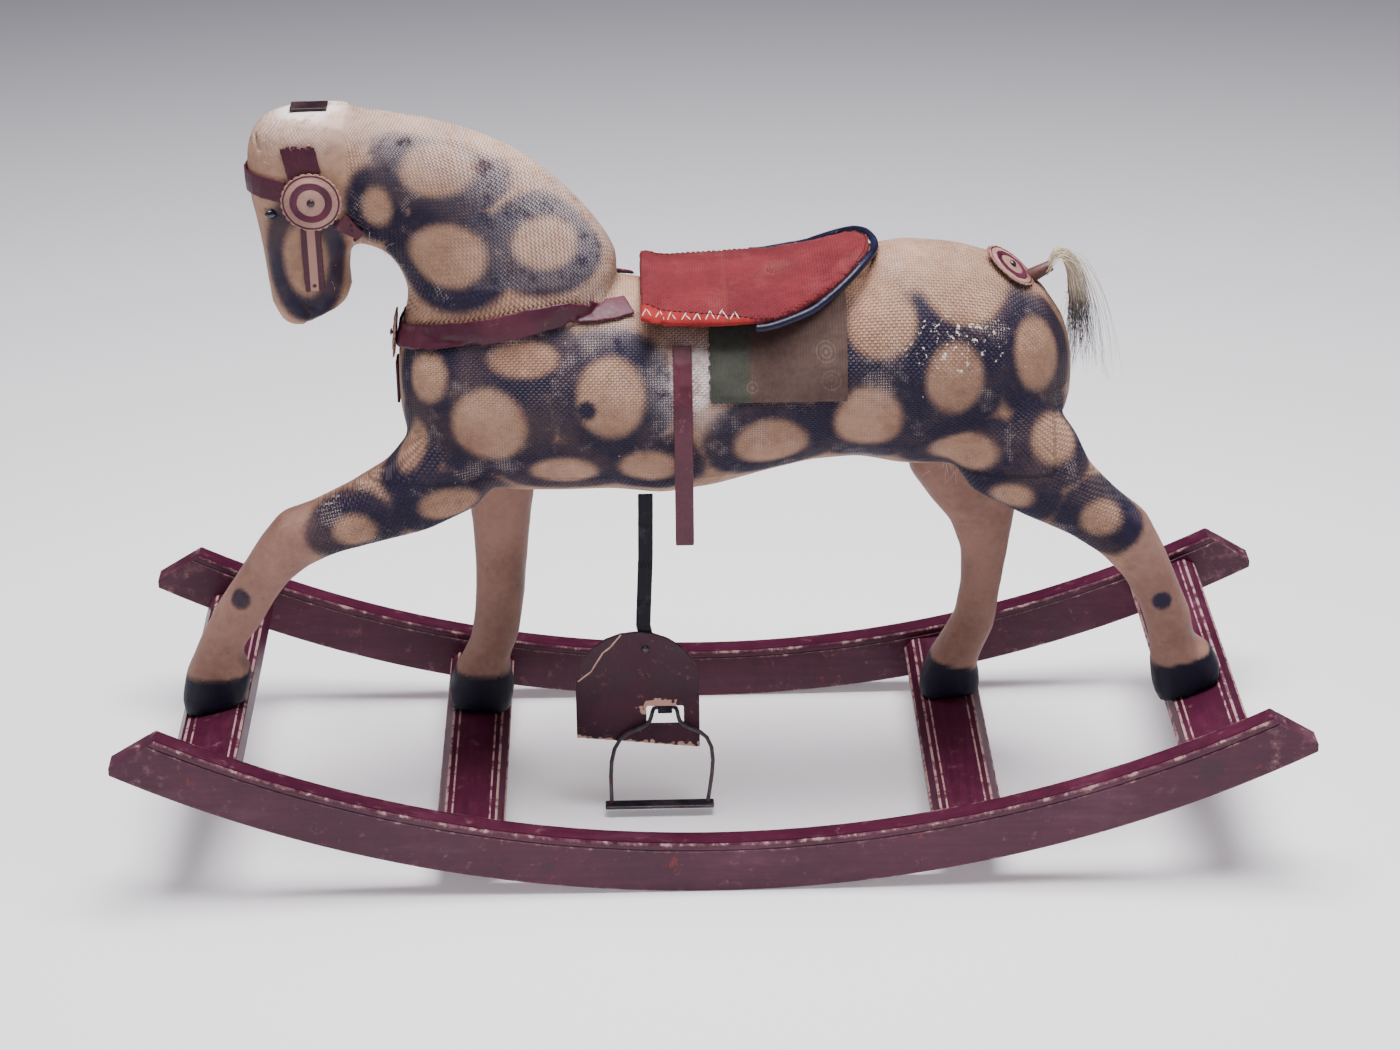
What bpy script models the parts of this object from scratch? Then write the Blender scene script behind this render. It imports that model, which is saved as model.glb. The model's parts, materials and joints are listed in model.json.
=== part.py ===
"""Wooden rocking horse on bow rockers, with leather tack, a hanging stirrup and a hair tail.

Frame: the horse faces -X, its near (left) side is -Y, +Z is up. The origin is on the floor,
at the middle of the rockers. All lengths are in metres.
"""
import math

import bmesh
import bpy
from mathutils import Matrix, Vector
from mathutils.bvhtree import BVHTree

# ---- driving dimensions ------------------------------------------------------------------
ROCKER_LENGTH = 1.000        # tip to tip
ROCKER_RADIUS = 1.070        # of the bottom edge
ROCKER_HEIGHT = 0.0464       # radial height of the bow
ROCKER_THICKNESS = 0.021
ROCKER_SPREAD = 0.355        # between the two outer faces
ROCKER_TIP_TOP = 0.460       # x where the slanted end meets the top edge
ROCKER_TIP_NOSE = 0.007      # height of the blunt nose at each tip
ROCKER_FACETS = 17           # odd, so that the middle one lies flat on the floor

SLAT_THICKNESS = 0.020
SLAT_CHAMFER = 0.0075
TENON_LENGTH = 0.012
TENON_THICKNESS = 0.010
TENON_WIDTH = 0.028

GAP = 0.0003                 # kept between solids that touch
LEATHER = 0.0022
STRAP_GAP = 0.0008           # under leather that lies on the curved body

HEAD_JOINT_X = -0.288        # plane of the glued joint between head and neck
SADDLE_FRONT, SADDLE_REAR = -0.058, 0.135
SADDLE_HALF_WIDTH = 0.080
SADDLE_THICKNESS = 0.008
CLOTH_THICKNESS = 0.0009

# ---- the scene ---------------------------------------------------------------------------
for old in list(bpy.data.objects):
    bpy.data.objects.remove(old, do_unlink=True)

parts = bpy.data.collections.new("rocking_horse")
cutters = bpy.data.collections.new("cutters")
bpy.context.scene.collection.children.link(parts)
bpy.context.scene.collection.children.link(cutters)


def material(name, color, roughness, metallic=0.0):
    made = bpy.data.materials.new(name)
    made.use_nodes = True
    shader = made.node_tree.nodes["Principled BSDF"]
    shader.inputs["Base Color"].default_value = (*color, 1.0)
    shader.inputs["Roughness"].default_value = roughness
    shader.inputs["Metallic"].default_value = metallic
    return made


HIDE_CLOTH = material("dappled_cloth", (0.62, 0.48, 0.34), 0.8)
LEG_WOOD = material("painted_leg_wood", (0.50, 0.33, 0.21), 0.6)
ROCKER_PAINT = material("maroon_paint", (0.16, 0.035, 0.045), 0.45)
RAW_WOOD = material("raw_wood", (0.60, 0.45, 0.28), 0.7)
MAROON_LEATHER = material("maroon_leather", (0.20, 0.03, 0.045), 0.5)
SADDLE_CLOTH = material("red_saddle_cloth", (0.45, 0.07, 0.05), 0.9)
NAVY_LEATHER = material("navy_piping_leather", (0.02, 0.025, 0.07), 0.3)
BLANKET_CLOTH = material("olive_brown_cloth", (0.16, 0.13, 0.09), 0.95)
BLACK_WEBBING = material("black_webbing", (0.02, 0.02, 0.03), 0.85)
IRON = material("dark_iron", (0.06, 0.06, 0.07), 0.45, 1.0)
EYE_GLASS = material("dark_eye", (0.01, 0.01, 0.012), 0.15)
TAIL_HAIR = material("tail_hair", (0.55, 0.47, 0.36), 0.7)


def add_object(name, mesh, look, collection=parts):
    mesh.materials.clear()
    mesh.materials.append(look)
    made = bpy.data.objects.new(name, mesh)
    collection.objects.link(made)
    return made


def mesh_from(bm, name):
    mesh = bpy.data.meshes.new(name)
    bm.to_mesh(mesh)
    bm.free()
    mesh.shade_smooth()
    mesh.set_sharp_from_angle(angle=math.radians(40))
    return mesh


def as_cutter(solid):
    for owner in list(solid.users_collection):
        owner.objects.unlink(solid)
    cutters.objects.link(solid)
    solid.hide_render = True
    solid.display_type = "WIRE"
    return solid


def cut(target, *tools):
    for tool in tools:
        boolean = target.modifiers.new("cut_" + tool.name, "BOOLEAN")
        boolean.operation = "DIFFERENCE"
        boolean.solver = "EXACT"
        boolean.object = tool


def evaluated_bmesh(solid):
    """The solid as it stands after its modifiers, in world space."""
    bpy.context.view_layer.update()
    graph = bpy.context.evaluated_depsgraph_get()
    bm = bmesh.new()
    bm.from_object(solid, graph)
    bmesh.ops.transform(bm, matrix=solid.matrix_world, verts=bm.verts)
    return bm


def surface_of(*solids):
    """One search tree over the skins of several solids."""
    points, polygons = [], []
    for solid in solids:
        bm = evaluated_bmesh(solid)
        start = len(points)
        points += [vert.co.copy() for vert in bm.verts]
        polygons += [[start + vert.index for vert in face.verts] for face in bm.faces]
        bm.free()
    return BVHTree.FromPolygons(points, polygons)


# ---- lofted bodies -----------------------------------------------------------------------
def smooth_stations(stations, steps):
    """Rows of numbers, filled in along a Catmull-Rom curve through the given rows."""
    rows = [stations[0], *stations, stations[-1]]
    filled = []
    for before, start, end, after in zip(rows, rows[1:], rows[2:], rows[3:]):
        for step in range(steps):
            t = step / steps
            filled.append([
                0.5 * (2 * b + (c - a) * t + (2 * a - 5 * b + 4 * c - d) * t * t
                       + (3 * b - a - 3 * c + d) * t ** 3)
                for a, b, c, d in zip(before, start, end, after)])
    filled.append(list(stations[-1]))
    return filled


def ring(front_x, front_z, back_x, back_z, half_width, y_mid, squareness, count):
    """A rounded section across the line from front to back, half_width each way along Y."""
    middle = Vector(((front_x + back_x) / 2, y_mid, (front_z + back_z) / 2))
    reach = Vector(((front_x - back_x) / 2, 0, (front_z - back_z) / 2))
    power = 2 / squareness
    points = []
    for index in range(count):
        angle = math.tau * index / count
        along = math.copysign(abs(math.cos(angle)) ** power, math.cos(angle))
        across = math.copysign(abs(math.sin(angle)) ** power, math.sin(angle))
        points.append(middle + reach * along + Vector((0, half_width * across, 0)))
    return points


def loft(name, rings, look):
    """Skin a row of closed rings and close both ends."""
    bm = bmesh.new()
    loops = [[bm.verts.new(point) for point in points] for points in rings]
    for near, far in zip(loops, loops[1:]):
        for index, vert in enumerate(near):
            after = (index + 1) % len(near)
            bm.faces.new((vert, near[after], far[after], far[index]))
    bm.faces.new(loops[0])
    bm.faces.new(loops[-1])
    bmesh.ops.recalc_face_normals(bm, faces=bm.faces)
    return add_object(name, mesh_from(bm, name), look)


def body_loft(name, stations, steps, count, look):
    """Stations are (front x, z, back x, z, half width, y, squareness)."""
    return loft(name, [ring(*row, count) for row in smooth_stations(stations, steps)], look)


def grown_copy(source, distance):
    """A cutter a little larger all round than the solid it copies."""
    copy = as_cutter(add_object(source.name + "_room", source.data.copy(), RAW_WOOD))
    swell = copy.modifiers.new("grow", "DISPLACE")
    swell.strength = distance
    swell.mid_level = 0.0
    return copy


def rod(name, start, end, radius, look, sides=16):
    """A round rod between two points."""
    start, end = Vector(start), Vector(end)
    along = end - start
    bm = bmesh.new()
    bmesh.ops.create_cone(bm, cap_ends=True, segments=sides, radius1=radius, radius2=radius,
                          depth=along.length)
    turn = along.to_track_quat("Z", "Y").to_matrix().to_4x4()
    bmesh.ops.transform(bm, matrix=Matrix.Translation((start + end) / 2) @ turn, verts=bm.verts)
    return add_object(name, mesh_from(bm, name), look)


def trim_behind(solid, plane_x, keep_front):
    """Saw a solid off square at a plane across X, and close the sawn face."""
    bm = bmesh.new()
    bm.from_mesh(solid.data)
    bmesh.ops.bisect_plane(bm, geom=[*bm.verts, *bm.edges, *bm.faces], plane_co=(plane_x, 0, 0),
                           plane_no=(1, 0, 0), clear_outer=keep_front, clear_inner=not keep_front)
    bmesh.ops.holes_fill(bm, edges=[edge for edge in bm.edges if edge.is_boundary])
    bmesh.ops.recalc_face_normals(bm, faces=bm.faces)
    bm.to_mesh(solid.data)
    bm.free()


# ---- torso, neck and head ----------------------------------------------------------------
def torso_station(x, half_width, middle_z, half_height, squareness=2.0):
    return (x, middle_z + half_height, x, middle_z - half_height, half_width, 0, squareness)


TORSO = [
    torso_station(-0.2560, 0.018, 0.402, 0.026),
    torso_station(-0.2510, 0.038, 0.400, 0.050),
    torso_station(-0.2360, 0.060, 0.398, 0.074),
    torso_station(-0.2050, 0.077, 0.396, 0.088),
    torso_station(-0.1640, 0.085, 0.395, 0.093),
    torso_station(-0.1230, 0.087, 0.3944, 0.093),
    torso_station(-0.0810, 0.088, 0.3940, 0.0915),
    torso_station(-0.0380, 0.089, 0.3875, 0.0895),
    torso_station(0.0050, 0.088, 0.3910, 0.0860),
    torso_station(0.0480, 0.0865, 0.3976, 0.0800),
    torso_station(0.0850, 0.0855, 0.4060, 0.0795),
    torso_station(0.1250, 0.0855, 0.4165, 0.0880),
    torso_station(0.1630, 0.0855, 0.4160, 0.0960),
    torso_station(0.2050, 0.0820, 0.4135, 0.0950),
    torso_station(0.2450, 0.0730, 0.4095, 0.0880),
    torso_station(0.2780, 0.0560, 0.4040, 0.0690),
    torso_station(0.2960, 0.0370, 0.4000, 0.0460),
    torso_station(0.3030, 0.0180, 0.3980, 0.0230),
]
torso = body_loft("torso", TORSO, steps=1, count=28, look=HIDE_CLOTH)
torso_room = grown_copy(torso, GAP)

NECK = [
    (-0.075, 0.440, -0.215, 0.380, 0.056, 0, 2.0),
    (-0.0735, 0.490, -0.240, 0.425, 0.064, 0, 2.0),
    (-0.0740, 0.511, -0.2525, 0.443, 0.064, 0, 2.0),
    (-0.0950, 0.545, -0.2460, 0.4786, 0.055, 0, 2.0),
    (-0.1290, 0.581, -0.2535, 0.502, 0.046, 0, 2.0),
    (-0.1600, 0.603, -0.2620, 0.513, 0.042, 0, 2.0),
    (-0.2000, 0.620, -0.2720, 0.519, 0.039, 0, 2.0),
    (-0.2450, 0.631, -0.2840, 0.522, 0.036, 0, 2.1),
    (-0.2880, 0.637, -0.2960, 0.522, 0.0345, 0, 2.2),
    (-0.3200, 0.637, -0.3080, 0.522, 0.034, 0, 2.2),
]
neck = body_loft("neck", NECK, steps=2, count=24, look=HIDE_CLOTH)
trim_behind(neck, HEAD_JOINT_X + GAP, keep_front=False)
cut(neck, torso_room)

HEAD = [
    (-0.3420, 0.4520, -0.3080, 0.4680, 0.019, 0, 2.4),
    (-0.3510, 0.4590, -0.2960, 0.4740, 0.027, 0, 2.4),
    (-0.3576, 0.4740, -0.2915, 0.4850, 0.031, 0, 2.4),
    (-0.3600, 0.4960, -0.2925, 0.5000, 0.032, 0, 2.4),
    (-0.3618, 0.5170, -0.2905, 0.5160, 0.033, 0, 2.3),
    (-0.3650, 0.5420, -0.2810, 0.5330, 0.035, 0, 2.3),
    (-0.3690, 0.5640, -0.2700, 0.5500, 0.036, 0, 2.3),
    (-0.3707, 0.5860, -0.2620, 0.5720, 0.036, 0, 2.3),
    (-0.3695, 0.6060, -0.2580, 0.5960, 0.0355, 0, 2.3),
    (-0.3640, 0.6220, -0.2560, 0.6180, 0.034, 0, 2.3),
    (-0.3530, 0.6320, -0.2580, 0.6310, 0.029, 0, 2.3),
    (-0.3380, 0.6370, -0.2660, 0.6380, 0.017, 0, 2.3),
]
head = body_loft("head", HEAD, steps=1, count=24, look=HIDE_CLOTH)
trim_behind(head, HEAD_JOINT_X, keep_front=True)

# ---- legs --------------------------------------------------------------------------------
# Each station: front x, z, back x, z, half width, distance from the middle plane, squareness.
FRONT_LEG_REACHING = [
    (-0.2100, 0.3950, -0.1600, 0.3400, 0.022, 0.045, 2.0),
    (-0.2450, 0.3750, -0.1950, 0.3020, 0.029, 0.046, 2.0),
    (-0.2680, 0.3450, -0.2350, 0.2840, 0.031, 0.047, 2.1),
    (-0.3020, 0.3230, -0.2740, 0.2755, 0.030, 0.048, 2.2),
    (-0.3340, 0.3070, -0.3100, 0.2665, 0.027, 0.049, 2.3),
    (-0.3590, 0.2990, -0.3350, 0.2550, 0.026, 0.050, 2.3),
    (-0.3770, 0.2770, -0.3550, 0.2385, 0.024, 0.050, 2.3),
    (-0.3970, 0.2460, -0.3690, 0.2190, 0.022, 0.051, 2.3),
    (-0.4170, 0.2160, -0.3820, 0.1960, 0.021, 0.051, 2.3),
    (-0.4330, 0.1860, -0.3960, 0.1790, 0.021, 0.051, 2.3),
    (-0.4430, 0.1630, -0.3990, 0.1650, 0.021, 0.051, 2.5),
    (-0.4480, 0.1530, -0.3920, 0.1530, 0.022, 0.051, 2.8),
    (-0.4530, 0.1290, -0.3950, 0.1400, 0.0225, 0.051, 3.4),
    (-0.4510, 0.1149, -0.3975, 0.1282, 0.0225, 0.051, 3.4),
]
FRONT_LEG_STANDING = [
    (-0.2080, 0.3700, -0.1450, 0.3700, 0.024, 0.045, 2.0),
    (-0.2110, 0.3200, -0.1420, 0.3200, 0.030, 0.049, 2.0),
    (-0.2090, 0.2850, -0.1470, 0.2850, 0.030, 0.054, 2.1),
    (-0.2050, 0.2350, -0.1530, 0.2450, 0.027, 0.058, 2.2),
    (-0.2040, 0.1900, -0.1580, 0.2010, 0.025, 0.061, 2.2),
    (-0.2060, 0.1500, -0.1620, 0.1600, 0.024, 0.064, 2.3),
    (-0.2110, 0.1180, -0.1680, 0.1220, 0.023, 0.064, 2.3),
    (-0.2210, 0.0960, -0.1780, 0.0960, 0.0225, 0.064, 2.6),
    (-0.2260, 0.0890, -0.1765, 0.0880, 0.0230, 0.064, 2.8),
    (-0.2330, 0.0700, -0.1740, 0.0680, 0.0240, 0.065, 3.4),
    (-0.2320, 0.0522, -0.1775, 0.0490, 0.0240, 0.065, 3.4),
]
HIND_LEG_STANDING = [
    (0.1780, 0.3850, 0.2500, 0.3850, 0.026, 0.044, 2.0),
    (0.1700, 0.3350, 0.2700, 0.3350, 0.033, 0.048, 2.0),
    (0.1740, 0.2850, 0.2740, 0.2950, 0.032, 0.050, 2.1),
    (0.1930, 0.2560, 0.2720, 0.2600, 0.028, 0.053, 2.2),
    (0.2120, 0.2310, 0.2680, 0.2280, 0.025, 0.058, 2.3),
    (0.2230, 0.2000, 0.2640, 0.1960, 0.022, 0.060, 2.3),
    (0.2240, 0.1650, 0.2590, 0.1620, 0.021, 0.060, 2.3),
    (0.2190, 0.1330, 0.2550, 0.1250, 0.021, 0.060, 2.3),
    (0.2060, 0.1070, 0.2450, 0.1010, 0.022, 0.060, 2.5),
    (0.1990, 0.0950, 0.2400, 0.0870, 0.0225, 0.060, 2.8),
    (0.1920, 0.0740, 0.2430, 0.0750, 0.0235, 0.061, 3.4),
    (0.1890, 0.0556, 0.2436, 0.0614, 0.0235, 0.061, 3.4),
]
HIND_LEG_REACHING = [
    (0.1900, 0.3950, 0.2520, 0.4250, 0.026, 0.040, 2.0),
    (0.1950, 0.3450, 0.2820, 0.3950, 0.032, 0.045, 2.0),
    (0.2180, 0.3120, 0.3060, 0.3600, 0.032, 0.048, 2.1),
    (0.2600, 0.2900, 0.3180, 0.3330, 0.030, 0.050, 2.2),
    (0.3000, 0.2720, 0.3420, 0.3070, 0.027, 0.052, 2.3),
    (0.3280, 0.2530, 0.3670, 0.2870, 0.025, 0.054, 2.3),
    (0.3500, 0.2290, 0.3830, 0.2560, 0.022, 0.055, 2.3),
    (0.3650, 0.2000, 0.3980, 0.2200, 0.021, 0.056, 2.3),
    (0.3730, 0.1750, 0.4080, 0.1960, 0.021, 0.056, 2.3),
    (0.3770, 0.1540, 0.4130, 0.1700, 0.0215, 0.056, 2.5),
    (0.3760, 0.1470, 0.4280, 0.1600, 0.0225, 0.056, 2.8),
    (0.3790, 0.1260, 0.4360, 0.1450, 0.0235, 0.056, 3.4),
    (0.3834, 0.1128, 0.4359, 0.1335, 0.0235, 0.056, 3.4),
]
NEAR, FAR = -1, 1


def leg(name, stations, side):
    placed = [(*row[:5], side * row[5], row[6]) for row in stations]
    made = body_loft(name, placed, steps=1, count=16, look=LEG_WOOD)
    cut(made, torso_room)
    return made


near_front_leg = leg("near_front_leg", FRONT_LEG_REACHING, NEAR)
far_front_leg = leg("far_front_leg", FRONT_LEG_STANDING, FAR)
near_hind_leg = leg("near_hind_leg", HIND_LEG_REACHING, NEAR)
far_hind_leg = leg("far_hind_leg", HIND_LEG_STANDING, FAR)


# ---- rockers and slats -------------------------------------------------------------------
def bow_height(x, radius):
    """Height of a bow's edge above the floor at x."""
    return ROCKER_RADIUS - math.sqrt(radius * radius - x * x)


def rocker_outline():
    """Bottom edge in equal facets, blunt noses, slanted ends and the top edge."""
    tip = ROCKER_LENGTH / 2
    half_angle = math.asin(tip / ROCKER_RADIUS)
    # the middle facet's corners lie on the floor, the others follow the arc
    lift = ROCKER_RADIUS * (1 - math.cos(half_angle / ROCKER_FACETS))
    bottom = []
    for index in range(ROCKER_FACETS + 1):
        angle = half_angle * (2 * index / ROCKER_FACETS - 1)
        x = ROCKER_RADIUS * math.sin(angle)
        bottom.append((x, ROCKER_RADIUS * (1 - math.cos(angle)) - lift))
    top_radius = ROCKER_RADIUS - ROCKER_HEIGHT
    top_half_angle = math.asin(ROCKER_TIP_TOP / top_radius)
    top = []
    for index in range(ROCKER_FACETS):
        angle = top_half_angle * (1 - 2 * index / (ROCKER_FACETS - 1))
        x = top_radius * math.sin(angle)
        top.append((x, bow_height(x, top_radius) - lift))
    nose = bottom[-1][1] + ROCKER_TIP_NOSE
    return bottom + [(tip, nose)] + top + [(-tip, nose)]


def rocker(name, side):
    bm = bmesh.new()
    outer = side * ROCKER_SPREAD / 2
    corners = [bm.verts.new((x, outer, z)) for x, z in rocker_outline()]
    board = bm.faces.new(corners)
    inward = Vector((0, -side * ROCKER_THICKNESS, 0))
    pulled = bmesh.ops.extrude_face_region(bm, geom=[board])["geom"]
    bmesh.ops.translate(bm, vec=inward, verts=[v for v in pulled if isinstance(v, bmesh.types.BMVert)])
    bmesh.ops.recalc_face_normals(bm, faces=bm.faces)
    return add_object(name, mesh_from(bm, name), ROCKER_PAINT)


near_rocker = rocker("near_rocker", NEAR)
far_rocker = rocker("far_rocker", FAR)

inside_width = ROCKER_SPREAD - 2 * ROCKER_THICKNESS
# name, x and z of the middle of its top, width, rise towards +X in degrees
SLATS = [
    ("front_slat", -0.4286, 0.1200, 0.0590, 14.0),
    ("front_middle_slat", -0.2065, 0.0500, 0.0580, -3.5),
    ("rear_middle_slat", 0.2130, 0.0577, 0.0600, 6.0),
    ("rear_slat", 0.4170, 0.1253, 0.0620, 21.5),
]


def slat_board(name, width):
    """A board along Y with chamfered top edges and a stub tenon at each end."""
    half, chamfer, under = width / 2, SLAT_CHAMFER, -SLAT_THICKNESS
    board = [(-half, -chamfer), (-half + chamfer, 0), (half - chamfer, 0), (half, -chamfer),
             (half, under), (-half, under)]
    side, low, high = TENON_WIDTH / 2, (under - TENON_THICKNESS) / 2, (under + TENON_THICKNESS) / 2
    tenon = [(-side, under / 2), (-side, high), (side, high), (side, under / 2),
             (side, low), (-side, low)]
    shoulder = inside_width / 2 - GAP
    end = shoulder + TENON_LENGTH
    rings = [[Vector((x, y, z)) for x, z in outline] for outline, y in (
        (tenon, -end), (tenon, -shoulder), (board, -shoulder),
        (board, shoulder), (tenon, shoulder), (tenon, end))]
    return loft(name, rings, ROCKER_PAINT)


slats = {}
for slat_name, slat_x, slat_z, slat_width, rise in SLATS:
    place = Matrix.Translation((slat_x, 0, slat_z)) @ Matrix.Rotation(math.radians(-rise), 4, "Y")
    slat = slat_board(slat_name, slat_width)
    slat.matrix_world = place
    slats[slat_name] = slat
    # one cutter makes the mortise in both rockers
    bm = bmesh.new()
    bmesh.ops.create_cube(bm, size=1.0)
    bmesh.ops.scale(bm, verts=bm.verts, vec=(
        TENON_WIDTH + 2 * GAP, inside_width + 2 * TENON_LENGTH + 2 * GAP, TENON_THICKNESS + 2 * GAP))
    bmesh.ops.translate(bm, verts=bm.verts, vec=(0, 0, -SLAT_THICKNESS / 2))
    mortise = as_cutter(add_object(slat_name + "_mortise", mesh_from(bm, slat_name + "_mortise"), RAW_WOOD))
    mortise.matrix_world = place
    cut(near_rocker, mortise)
    cut(far_rocker, mortise)


# ---- hidden joinery ----------------------------------------------------------------------
def joint_dowel(name, start, end, radius, *bored):
    """A dowel across a glued joint, in holes bored a hair larger."""
    start, end = Vector(start), Vector(end)
    slack = (end - start).normalized() * GAP
    hole = as_cutter(rod(name + "_hole", start - slack, end + slack, radius + GAP, RAW_WOOD))
    for solid in bored:
        cut(solid, hole)
    return rod(name, start, end, radius, RAW_WOOD)


joint_dowel("neck_dowel", (-0.135, 0, 0.420), (-0.175, 0, 0.535), 0.011, torso, neck)
joint_dowel("head_dowel", (-0.255, 0, 0.578), (-0.325, 0, 0.578), 0.009, neck, head)
joint_dowel("near_front_leg_dowel", (-0.185, -0.040, 0.365), (-0.262, -0.048, 0.318), 0.008,
            torso, near_front_leg)
joint_dowel("far_front_leg_dowel", (-0.178, 0.042, 0.365), (-0.178, 0.055, 0.262), 0.008,
            torso, far_front_leg)
joint_dowel("near_hind_leg_dowel", (0.208, -0.036, 0.388), (0.292, -0.049, 0.315), 0.008,
            torso, near_hind_leg)
joint_dowel("far_hind_leg_dowel", (0.222, 0.044, 0.370), (0.226, 0.052, 0.268), 0.008,
            torso, far_hind_leg)


def turned(name, profile, look, sides=16):
    """A solid turned about Z; the profile runs down its outer side, top to bottom."""
    bm = bmesh.new()
    verts = [bm.verts.new((radius, 0, height)) for radius, height in profile]
    for upper, lower in zip(verts, verts[1:]):
        bm.edges.new((upper, lower))
    made = add_object(name, mesh_from(bm, name), look)
    lathe = made.modifiers.new("turn", "SCREW")
    lathe.axis = "Z"
    lathe.angle = math.tau
    lathe.steps = lathe.render_steps = sides
    lathe.use_merge_vertices = True
    lathe.merge_threshold = 0.00005
    return made


def stand_at(solid, point, direction):
    """Put a turned solid at a point with its +Z along a direction."""
    turn = Vector(direction).to_track_quat("Z", "Y").to_matrix().to_4x4()
    solid.matrix_world = Matrix.Translation(Vector(point)) @ turn


SCREW_HEAD_RADIUS, SCREW_SHANK_RADIUS = 0.0042, 0.0020
SCREW_BITE = 0.016           # depth of the screw in the hoof


def screw_profile(extra, depth):
    """A countersunk screw, head down, its top at depth above the slat's underside."""
    head, shank = SCREW_HEAD_RADIUS + extra, SCREW_SHANK_RADIUS + extra
    return [(0, depth + extra), (shank, depth + extra), (shank, 0.0024), (head, 0.0004),
            (head, -extra), (0, -extra)]


HOOF_SCREWS = [
    ("near_front", near_front_leg, "front_slat", -0.051),
    ("far_front", far_front_leg, "front_middle_slat", 0.065),
    ("near_hind", near_hind_leg, "rear_slat", -0.056),
    ("far_hind", far_hind_leg, "rear_middle_slat", 0.061),
]
for corner, its_leg, slat_name, y in HOOF_SCREWS:
    slat = slats[slat_name]
    up = slat.matrix_world.to_3x3() @ Vector((0, 0, 1))
    foot = slat.matrix_world @ Vector((0.001, y, -SLAT_THICKNESS)) + up * GAP
    depth = SLAT_THICKNESS + SCREW_BITE
    screw = turned(corner + "_hoof_screw", screw_profile(0, depth), IRON, sides=12)
    hole = as_cutter(turned(corner + "_screw_hole", screw_profile(GAP, depth), IRON, sides=12))
    # the slat lies clear of the sole by the gap, and the hole opens through both
    sole_room = as_cutter(add_object(corner + "_sole_room", slat.data.copy(), RAW_WOOD))
    sole_room.matrix_world = Matrix.Translation(up * GAP) @ slat.matrix_world
    stand_at(screw, foot, up)
    stand_at(hole, foot, up)
    cut(its_leg, sole_room, hole)
    cut(slat, hole)


# ---- leather and cloth that lies on the body ---------------------------------------------
REACH = 0.060                # how far outside the body the search for its skin starts


def outer_skin(surface, core, point):
    """The skin and its normal, met on the way in towards the core line past a point."""
    start, end = (Vector(corner) for corner in core)
    along = end - start
    share = max(0.0, min(1.0, (point - start).dot(along) / along.length_squared))
    out = (point - start - along * share).normalized()
    spot, normal, _, _ = surface.ray_cast(point + out * REACH, -out)
    return spot, normal


def strap(name, route, width, thickness, surface, core, look, columns=3, rows=8, gap=STRAP_GAP,
          across=None):
    """A strip laid on a surface along a route of points, its two faces following the surface."""
    points = [Vector(point) for point in smooth_stations(route, rows)]
    rings = []
    for index, point in enumerate(points):
        ahead = points[min(index + 1, len(points) - 1)] - points[max(index - 1, 0)]
        _, normal = outer_skin(surface, core, point)
        side = Vector(across) if across else ahead.cross(normal).normalized()
        inner, outer = [], []
        for column in range(columns):
            offset = side * width * (column / (columns - 1) - 0.5)
            spot, out = outer_skin(surface, core, point + offset)
            inner.append(spot + out * gap)
            outer.append(spot + out * (gap + thickness))
        rings.append(inner + outer[::-1])
    return loft(name, rings, look)


TORSO_CORE = ((-0.200, 0, 0.400), (0.250, 0, 0.405))
NECK_BASE_CORE = ((-0.170, 0, 0.440), (-0.070, 0, 0.440))
HEAD_CORE = ((-0.315, 0, 0.600), (-0.325, 0, 0.480))
JAW_CORE = ((-0.310, 0, 0.580), (-0.270, 0, 0.520))
body_surface = surface_of(torso, neck)
head_surface = surface_of(head, neck)


def on_side(points, side):
    """Points given for the far side, put on either side."""
    return [(x, y * side, z) for x, y, z in points]


BREAST_ROUTE = [(-0.0640, 0.034, 0.4740), (-0.0900, 0.048, 0.4760), (-0.1200, 0.057, 0.4780),
                (-0.1690, 0.064, 0.4695), (-0.2100, 0.054, 0.4600), (-0.2350, 0.037, 0.4520),
                (-0.2480, 0.019, 0.4460)]
strap("breast_strap", on_side(BREAST_ROUTE, NEAR) + [(-0.2540, 0, 0.4435)]
      + on_side(BREAST_ROUTE, FAR)[::-1], 0.021, LEATHER, body_surface, NECK_BASE_CORE,
      MAROON_LEATHER, columns=5, rows=6, gap=0.0016)

ROSETTE_RADIUS = 0.0252
ROSETTE_LIFT = 0.0034        # of the rosette's back above the body, over the strap ends


def rosette_profile(radius, lift):
    """A leather disc in three stepped rings with a bead at its rim, on a tack's hole."""
    hole = 0.0018
    return [(hole, lift + 0.0030), (radius * 0.36, lift + 0.0030), (radius * 0.40, lift + 0.0023),
            (radius * 0.70, lift + 0.0023), (radius * 0.74, lift + 0.0016),
            (radius, lift + 0.0016), (radius, lift), (hole, lift), (hole, lift + 0.0030)]


def tack_profile(lift):
    """A domed tack that stands on the rosette and runs back into the body."""
    shank = 0.0014
    return [(0, lift + 0.0052), (0.0022, lift + 0.0047), (0.0036, lift + 0.0033), (shank, lift + 0.0033),
            (shank, lift - 0.0090), (0, lift - 0.0115)]


def rosette_with_tack(name, centre, direction, radius, lift, *pierced):
    disc = turned(name, rosette_profile(radius, lift), MAROON_LEATHER, sides=24)
    tack = turned(name + "_tack", tack_profile(lift), IRON, sides=10)
    hole = as_cutter(rod(name + "_tack_hole", (0, 0, -0.020), (0, 0, lift + 0.0005), 0.0018,
                         IRON, sides=10))
    for solid in (disc, tack, hole):
        stand_at(solid, centre, direction)
    for solid in pierced:
        cut(solid, hole)


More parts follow.
